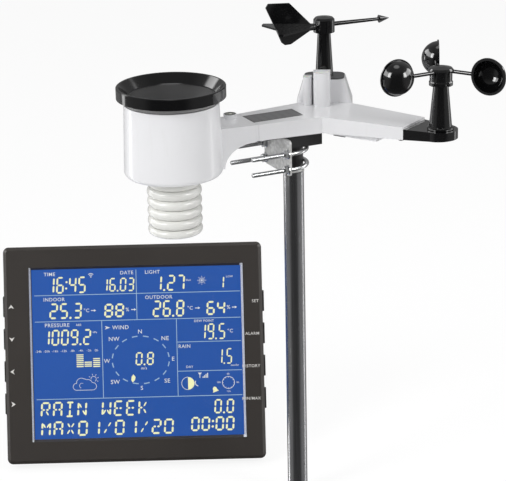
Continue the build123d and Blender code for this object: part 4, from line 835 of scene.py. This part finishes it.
def display_icons():
    """The small signs between the numbers: signal arcs, suns, trend arrows, cloud, moon, bars and clock."""
    parts = [patch(arc(SIGNAL, 0.7, 0, 340, 10))]
    parts += [stroke(arc(SIGNAL, reach, 45, 135, 10), 0.7) for reach in (2.0, 3.5)]
    parts.append(stroke(arc(LIGHT_SUN, 2.3, 0, 345, 20), 0.5, closed=True))
    parts.append(patch(arc(LIGHT_SUN, 1.1, 0, 330, 12)))
    parts += rays(LIGHT_SUN, 3.2, 4.6, range(0, 360, 45), 0.5)
    for u, v in TREND_ARROWS:
        parts.append(stroke([(u - 0.6, v), (u + 2.6, v)], 0.8))
        parts.append(arrow(u + 2.4, v, 2.2))
    parts.append(patch([(-33.0, 27.8), (-27.4, 26.0), (-33.0, 24.2), (-31.6, 26.0)]))
    cloud = np.vstack([arc((-63.0, -34.0), 3.6, 90, 270, 12), arc((-46.6, -33.8), 3.8, -90, 70, 14),
                       arc((-51.6, -31.4), 4.6, 20, 100, 10), arc((-58.2, -30.0), 4.8, 60, 190, 12)])
    parts.append(stroke(cloud, 0.45, closed=True))
    parts.append(stroke(arc((-57.5, -33.0), 2.6, 60, 250, 10), 0.4))
    parts.append(stroke(arc(CLOUD_SUN, 2.7, -60, 190, 14), 0.45))
    parts += rays(CLOUD_SUN, 3.8, 5.4, (-30, 15, 60, 105, 150), 0.45)
    parts.append(stroke(arc(MOON, 6.5, 90, 270, 18), 0.5))
    parts.append(stroke(arc((61.3, -32.7), 3.6, 150, 260, 10), 0.8))
    for count, height in enumerate(SIGNAL_BARS):
        left, foot = 65.4 + count * 1.5, -28
        parts.append(patch([(left, foot), (left + 1.0, foot), (left + 1.0, foot + height),
                            (left, foot + height)]))
    parts.append(stroke([(62.6, -28), (62.6, -23.4)], 0.7))
    parts.append(patch([(60.6, -22.6), (64.6, -22.6), (62.6, -25.2)]))
    parts.append(stroke(arc(CLOCK, 6.2, 0, 345, 28), 0.5, closed=True))
    return parts + rays(CLOCK, 5.0, 6.0, range(0, 360, 30), 0.4)


def glowing_icons():
    """The signs as bright as the numbers: half moon, tilted bell and the upright wind pointer."""
    return [patch(arc(MOON, 6.5, -90, 90, 18)), patch(turned(BELL, 20) + (77.8, -40.4)), patch(POINTER)]


def compass_ring(settings):
    """The dashed ring round the wind speed: equal arcs of an ellipse with gaps."""
    step = 360 / settings.ring_dashes
    return [stroke(arc((2.8, -8), 29, step * i + 5.5, step * (i + 1) - 5.5, 8, squash=0.845), 1.1)
            for i in range(settings.ring_dashes)]


def pressure_bars():
    """The pressure history: short rows stacked in columns."""
    return [stroke([(left, top - row * 2.0), (right, top - row * 2.0)], 1.1)
            for left, right, top, rows in STACKS for row in range(rows)]


# Marks on the bezel

RIGHT_WORDS = ("SET", "ALARM", "HISTORY", "MIN/MAX")
LEFT_TURNS = (0, 180, 90, -90)
ARROWHEAD = ((-2.7, -2.0), (0, 2.3), (2.7, -2.0), (0, -0.7))
ARROW_INSET, WORD_INSET, KEY_WORD_HEIGHT = 7.2, 3.8, 2.9


def bezel_marks():
    """Four arrows beside the left keys and four words beside the right keys, level with the left keys."""
    low, high = DISPLAY.extent("console_bezel")
    arrows, words = [], []
    for number, (turn, word) in enumerate(zip(LEFT_TURNS, RIGHT_WORDS), start=1):
        key = DISPLAY.extent(f"console_button_left_{number}")
        v = (key[0][2] + key[1][2]) / 2 / MM
        arrows.append(patch(turned(ARROWHEAD, turn) + (low[0] / MM + ARROW_INSET, v)))
        words.append((word, high[0] / MM - WORD_INSET, v, KEY_WORD_HEIGHT, "RIGHT"))
    return arrows + lettering(words)


# Round level, threads and small metal details

def level_dome():
    """The level's bubble: a low cap whose height falls with the square of the distance from its middle."""
    reach = np.linspace(0.02, 1, 12)
    radius, height = 1.5 * MM, 0.28 * MM
    top = np.stack([radius * reach, height * (1 - reach ** 2)], axis=1)
    outline = np.vstack([top, [(radius, -0.1 * MM), (0.02 * radius, -0.1 * MM)]])
    points, cells = lathe(outline, 32)
    return points + top_centre("level_vial") + np.array((0.5, 0.3, 0.0)) * MM, cells


def level_ring():
    """The level's bezel: a rounded ring, its section half an ellipse."""
    radius, width, height = 4.75 * MM, 0.55 * MM, 0.35 * MM
    angle = np.linspace(0, math.pi, 10)
    points, cells = lathe(np.stack([radius + width * np.cos(angle), height * np.sin(angle)], axis=1), 48)
    return points + top_centre("level_vial"), cells


def bolt_threads(settings):
    """Screw threads on the free ends of the four U-bolt legs."""
    start = ARM.local(top_centre("mast_tube"))[0] + settings.thread_start
    points, cells = thread(settings.rod_radius, settings.thread_height, settings.thread_pitch,
                           settings.thread_length)
    depths = (settings.bolt_depth_1, settings.bolt_depth_2)
    return joined([(ARM.world(points + (start, side * settings.leg_spacing, -depth)), cells)
                   for side in (-1, 1) for depth in depths])


# Settings a user may change

def colour_setting(name, description, *levels):
    """A colour setting, its default given on the 0 to 255 screen scale."""
    return bpy.props.FloatVectorProperty(name=name, description=description, subtype="COLOR",
                                         default=shade(*levels)[:3], min=0, max=1)


def length_setting(name, description, length):
    """A length setting in metres."""
    return bpy.props.FloatProperty(name=name, description=description, default=length, unit="LENGTH")


def power_setting(name, description, watts):
    """A light's power in watts."""
    return bpy.props.FloatProperty(name=name, description=description, default=watts, min=0, unit="POWER")


def angle_setting(name, description, degrees):
    """An angle setting, its default given in degrees."""
    return bpy.props.FloatProperty(name=name, description=description, subtype="ANGLE",
                                   default=math.radians(degrees))


class FinishSettings(bpy.types.PropertyGroup):
    white_colour: colour_setting("White plastic", "Colour of the arm and the rain gauge", 229, 229, 231)
    shield_colour: colour_setting("Shield plastic", "Colour of the louvred shield", 224, 224, 220)
    case_colour: colour_setting("Console case", "Colour of the console's case", 52, 48, 45)
    fluid_colour: colour_setting("Level fluid", "Colour of the fluid in the round level", 146, 149, 134)


class DisplaySettings(bpy.types.PropertyGroup):
    field_colour: colour_setting("Field", "Colour of the lit background", 44, 86, 164)
    digit_colour: colour_setting("Digits", "Colour of the numbers", 250, 250, 196)
    label_colour: colour_setting("Labels", "Colour of the small words", 232, 235, 232)
    rule_colour: colour_setting("Lines", "Colour of the dividing lines", 168, 198, 222)
    rule_width: bpy.props.FloatProperty(
        name="Line width", description="Width of the dividing lines in millimetres", default=0.7,
        min=0.2, max=2)
    ring_dashes: bpy.props.IntProperty(
        name="Ring dashes", description="Number of arcs in the wind direction ring", default=16,
        min=8, max=36)


class BoltSettings(bpy.types.PropertyGroup):
    rod_radius: length_setting("Rod radius", "Radius of the U-bolt rod", 2.0 * MM)
    thread_height: length_setting("Thread height", "How far the thread stands out of the rod", 0.10 * MM)
    thread_pitch: length_setting("Thread pitch", "Distance between turns of the thread", 0.8 * MM)
    thread_start: length_setting("Thread start", "Start of the thread from the mast's axis", 21.5 * MM)
    thread_length: length_setting("Thread length", "Length of the threaded end", 30.5 * MM)
    leg_spacing: length_setting("Leg spacing", "Distance of a leg from the arm's middle", 22.5 * MM)
    bolt_depth_1: length_setting("Upper bolt", "Depth of the upper U-bolt under the arm's top", 31.4 * MM)
    bolt_depth_2: length_setting("Lower bolt", "Depth of the lower U-bolt under the arm's top", 45.9 * MM)


class StageSettings(bpy.types.PropertyGroup):
    lens: bpy.props.FloatProperty(name="Lens", description="Focal length in millimetres", default=142.3)
    position: bpy.props.FloatVectorProperty(
        name="Camera place", description="Where the camera stands", subtype="TRANSLATION", unit="LENGTH",
        default=(0.0991, -1.7492, 0.8702))
    turn: angle_setting("Camera turn", "Turn about the vertical", 4.5)
    tilt: angle_setting("Camera tilt", "Look down from the horizontal", 19.27)
    roll: angle_setting("Camera roll", "Turn about the line of sight", -1.2)
    key_power: power_setting("Key light", "Power of the left softbox", 20.5)
    fill_power: power_setting("Fill light", "Power of the right softbox", 10.0)
    top_power: power_setting("Top light", "Power of the overhead sheet", 10.0)


# Operators: finishes

class WEATHER_OT_finishes(bpy.types.Operator):
    """Give every CAD part its finish"""
    bl_idname = "weather.finishes"
    bl_label = "Finish the parts"

    def execute(self, context):
        look = context.scene.weather_finish
        screen = context.scene.weather_display
        recipes = {
            "white_plastic": (weathered_white, opaque(look.white_colour)),
            "shield_plastic": (weathered_white, opaque(look.shield_colour)),
            "black_gloss": (polished_black,),
            "black_plastic": (moulded, shade(38, 38, 39), 0.42),
            "grey_plastic": (moulded, shade(74, 74, 75), 0.38),
            "mast_steel": (drawn_tube,),
            "zinc_plate": (spangled_zinc,),
            "zinc_rod": (plated_rod,),
            "shaft_steel": (polished_steel, shade(205, 205, 208)),
            "solar_cell": (laminated_cell,),
            "diffuser": (frosted_lens,),
            "level_glass": (level_fluid, look),
            "circuit_board": (printed_board,),
            "magnet_nickel": (polished_steel, shade(212, 206, 192)),
            "console_plastic": (case_plastic, look),
            "console_window": (clear_window,),
            "lcd_blue": (backlit_blue, screen),
            "key_plastic": (moulded, shade(40, 38, 37), 0.30, 0.03),
        }
        finishes = {slot: make(f"{slot}_finish", *rest) for slot, (make, *rest) in recipes.items()}
        own = {
            "rain_funnel": funnel_plastic("funnel_finish"),
            "array_cells": battery_wrap("array_cell_finish", "array_cells"),
            "console_cells": battery_wrap("console_cell_finish", "console_cells"),
        }
        for name, node in NODES.items():
            slot = node.data.materials[0].name.split(".")[0]
            node.data.materials[0] = own.get(name) or finishes[slot]
        return {"FINISHED"}


class WEATHER_OT_display(bpy.types.Operator):
    """Lay the numbers, words and lines on the display"""
    bl_idname = "weather.display"
    bl_label = "Display"

    def execute(self, context):
        look = context.scene.weather_display
        digits = glowing("digit_glow", opaque(look.digit_colour))
        labels = glowing("label_glow", opaque(look.label_colour), 0.95)
        rules = glowing("rule_glow", opaque(look.rule_colour), 0.9)
        parts = []
        for text, left, right, low, high in NUMBERS:
            parts += characters(text, left, right, low, high)
        for text, left, right, low, high in MESSAGES:
            parts += characters(text, left, right, low, high, table=STARRED, bar=0.20, gap=0.28)
        parts += pressure_bars() + glowing_icons()
        printed("display_digits", fitted(parts), 0.16, "console", "lcd_blue", digits)
        words = lettering([(text, u, v, size, "CENTER") for text, u, v, size in LABELS])
        printed("display_labels", fitted(words + display_icons()), 0.13, "console", "lcd_blue", labels)
        lines = [stroke([(u0, v0), (u1, v1)], look.rule_width) for u0, v0, u1, v1 in RULES]
        printed("display_lines", fitted(lines + compass_ring(look)), 0.10, "console", "lcd_blue", rules)
        return {"FINISHED"}


class WEATHER_OT_bezel_marks(bpy.types.Operator):
    """Print the arrows and words beside the keys"""
    bl_idname = "weather.bezel_marks"
    bl_label = "Bezel marks"

    def execute(self, context):
        front = -DISPLAY.extent("console_bezel")[0][1] / MM
        printed("bezel_marks", bezel_marks(), front + 0.06, "console", "key_plastic",
                print_ink("bezel_ink", shade(222, 220, 216)))
        return {"FINISHED"}


class WEATHER_OT_level(bpy.types.Operator):
    """Add the round level's ring and bubble"""
    bl_idname = "weather.level"
    bl_label = "Round level"

    def execute(self, context):
        clear = Finish("bubble_clear", Base_Color=shade(200, 203, 190), Roughness=0.05, Coat_Weight=1.0)
        mesh_piece("level_bubble", *level_dome(), "array", "level_glass", clear.material)
        black = NODES["mount_block"].data.materials[0]
        mesh_piece("level_ring", *level_ring(), "array", "black_plastic", black)
        return {"FINISHED"}


class WEATHER_OT_threads(bpy.types.Operator):
    """Cut threads on the U-bolt ends"""
    bl_idname = "weather.threads"
    bl_label = "U-bolt threads"

    def execute(self, context):
        plating = NODES["u_bolts"].data.materials[0]
        mesh_piece("u_bolt_threads", *bolt_threads(context.scene.weather_bolts), "array", "zinc_rod", plating)
        return {"FINISHED"}


# Stage

FLOOR_HALF, FLOOR_LINES, FLOOR_BACK = 9.0, 19, 3.0
FLOOR_GAP = 0.0005
ROOM_LIGHT = 0.38  # the backdrop's strength on matt surfaces, where the camera sees 1
PAPER_GLOW, PAPER_GLOW_SHARE = 1.05, 0.84
STAGE_MIDDLE = (0.0, 0.0, 0.25)


def softbox(name, place, target, size, power):
    """A rectangular area light aimed at a point."""
    light = bpy.data.lights.new(name, "AREA")
    light.shape = "RECTANGLE"
    light.size, light.size_y = size
    light.energy = power
    lamp = bpy.data.objects.new(name, light)
    bpy.context.scene.collection.objects.link(lamp)
    lamp.location = place
    lamp.rotation_euler = (Vector(target) - Vector(place)).to_track_quat("-Z", "Y").to_euler()
    return lamp


def studio_world():
    """A pale studio whose backdrop is white, with a dim room for polished parts to mirror.

    Mirrored brightness: a dark front, greyer to both sides, paler overhead and behind, with a
    tall bright strip and a window on each side for light to lie in lines and patches."""
    world = bpy.data.worlds.new("studio")
    bpy.context.scene.world = world
    world.use_nodes = True
    graph = Graph(world.node_tree)
    where = graph.node("ShaderNodeTexCoord", output="Generated")
    x, y, z = (graph.node("ShaderNodeSeparateXYZ", {}, {0: where}, axis) for axis in "XYZ")
    room = 0.07 + abs(x).step(0.5, 0.85) * 0.26 + z.step(0.35, 0.95) * 0.22 + y.step(0.1, 0.7) * 0.22
    upright = z.step(-0.80, -0.60) * (1 - z.step(0.10, 0.30))
    strip = y.step(0.24, 0.28) * (1 - y.step(0.40, 0.44)) * upright
    window = abs(x).step(0.70, 0.75) * z.step(0.18, 0.24) * (1 - z.step(0.54, 0.60)) * 5.0
    overhead = z.step(0.955, 0.985) * 2.0
    mirrored = room + window + overhead + strip * ((x < 0) * 4.0 + (x > 0) * 2.2)
    glossy = graph.light_ray("Is Glossy Ray")
    camera = graph.light_ray("Is Camera Ray")
    plain = camera + (1 - camera) * ROOM_LIGHT
    strength = glossy * mirrored + (1 - glossy) * plain
    background = world.node_tree.nodes["Background"]
    graph.links.new(strength.socket, background.inputs["Strength"])
    background.inputs["Color"].default_value = (1.0, 1.0, 1.0, 1.0)


def studio_paper():
    """White studio paper, faintly uneven and glowing to the camera. Polished parts don't mirror it."""
    paper = Finish("studio_paper", Roughness=0.9, Specular_IOR_Level=0.0)
    paper.set("Base Color", paper.blend(paper.noise(0.6, 1), (0.90, 0.90, 0.90, 1), (0.92, 0.92, 0.92, 1)))
    white = paper.node("ShaderNodeEmission", {}, {"Color": (1, 1, 1, 1), "Strength": PAPER_GLOW})
    share = paper.light_ray("Is Camera Ray") * PAPER_GLOW_SHARE
    matt = Value(paper, paper.surface.outputs[0])
    seen = paper.node("ShaderNodeMixShader", {}, {0: share, 1: matt, 2: white})
    gone = paper.node("ShaderNodeBsdfTransparent")
    mixed = paper.node("ShaderNodeMixShader", {}, {0: paper.light_ray("Is Glossy Ray"), 1: seen, 2: gone})
    paper.links.new(mixed.socket, paper.nodes["Material Output"].inputs["Surface"])
    return paper.material


class WEATHER_OT_stage(bpy.types.Operator):
    """Set up the floor, the lights and the camera"""
    bl_idname = "weather.stage"
    bl_label = "Studio"

    def execute(self, context):
        look = context.scene.weather_stage
        across = np.linspace(-FLOOR_HALF, FLOOR_HALF, FLOOR_LINES)
        x, y = np.meshgrid(across, across + FLOOR_BACK, indexing="ij")
        points = np.stack([x, y, np.full_like(x, CAD_BOX[0].z - FLOOR_GAP)], axis=-1).reshape(-1, 3)
        mesh = bpy.data.meshes.new("floor")
        mesh.from_pydata(points.tolist(), [], grid_faces(FLOOR_LINES, FLOOR_LINES)[:, ::-1].tolist())
        mesh.materials.append(studio_paper())
        floor = bpy.data.objects.new("floor", mesh)
        context.scene.collection.objects.link(floor)
        softbox("key_softbox", (-1.25, -1.15, 1.25), STAGE_MIDDLE, (0.58, 0.95), look.key_power)
        softbox("fill_softbox", (1.45, -0.75, 1.05), STAGE_MIDDLE, (0.5, 0.75), look.fill_power)
        top = softbox("top_sheet", (0.0, 0.25, 2.3), STAGE_MIDDLE, (2.2, 1.6), look.top_power)
        top.visible_glossy = False
        studio_world()
        camera = bpy.data.objects.new("camera", bpy.data.cameras.new("camera"))
        context.scene.collection.objects.link(camera)
        camera.data.lens = look.lens
        camera.data.sensor_width = 36.0
        camera.data.clip_end = 50.0
        turned = Matrix.Rotation(look.turn, 4, "Z") @ Matrix.Rotation(math.pi / 2 - look.tilt, 4, "X")
        camera.matrix_world = Matrix.Translation(look.position) @ turned @ Matrix.Rotation(look.roll, 4, "Z")
        context.scene.camera = camera
        context.scene.view_settings.view_transform = "Standard"
        return {"FINISHED"}


class WEATHER_PT_panel(bpy.types.Panel):
    bl_label = "Weather station"
    bl_idname = "WEATHER_PT_panel"
    bl_space_type = "VIEW_3D"
    bl_region_type = "UI"
    bl_category = "Weather station"

    def draw(self, context):
        for group in SETTINGS:
            settings = getattr(context.scene, group)
            for key in settings.bl_rna.properties.keys():
                if key not in ("rna_type", "name"):
                    self.layout.prop(settings, key)
        for operator in OPERATORS:
            self.layout.operator(operator.bl_idname)


SETTINGS = {
    "weather_finish": FinishSettings,
    "weather_display": DisplaySettings,
    "weather_bolts": BoltSettings,
    "weather_stage": StageSettings,
}
OPERATORS = (
    WEATHER_OT_finishes, WEATHER_OT_display, WEATHER_OT_bezel_marks, WEATHER_OT_level, WEATHER_OT_threads,
    WEATHER_OT_stage,
)


def register():
    for group in SETTINGS.values():
        bpy.utils.register_class(group)
    for name, group in SETTINGS.items():
        setattr(bpy.types.Scene, name, bpy.props.PointerProperty(type=group))
    for operator in OPERATORS:
        bpy.utils.register_class(operator)
    bpy.utils.register_class(WEATHER_PT_panel)


def unregister():
    bpy.utils.unregister_class(WEATHER_PT_panel)
    for operator in reversed(OPERATORS):
        bpy.utils.unregister_class(operator)
    for name, group in SETTINGS.items():
        delattr(bpy.types.Scene, name)
        bpy.utils.unregister_class(group)


def main():
    register()
    for operator in OPERATORS:
        name = operator.bl_idname.split(".")[1]
        getattr(bpy.ops.weather, name)()


if __name__ == "__main__":
    main()
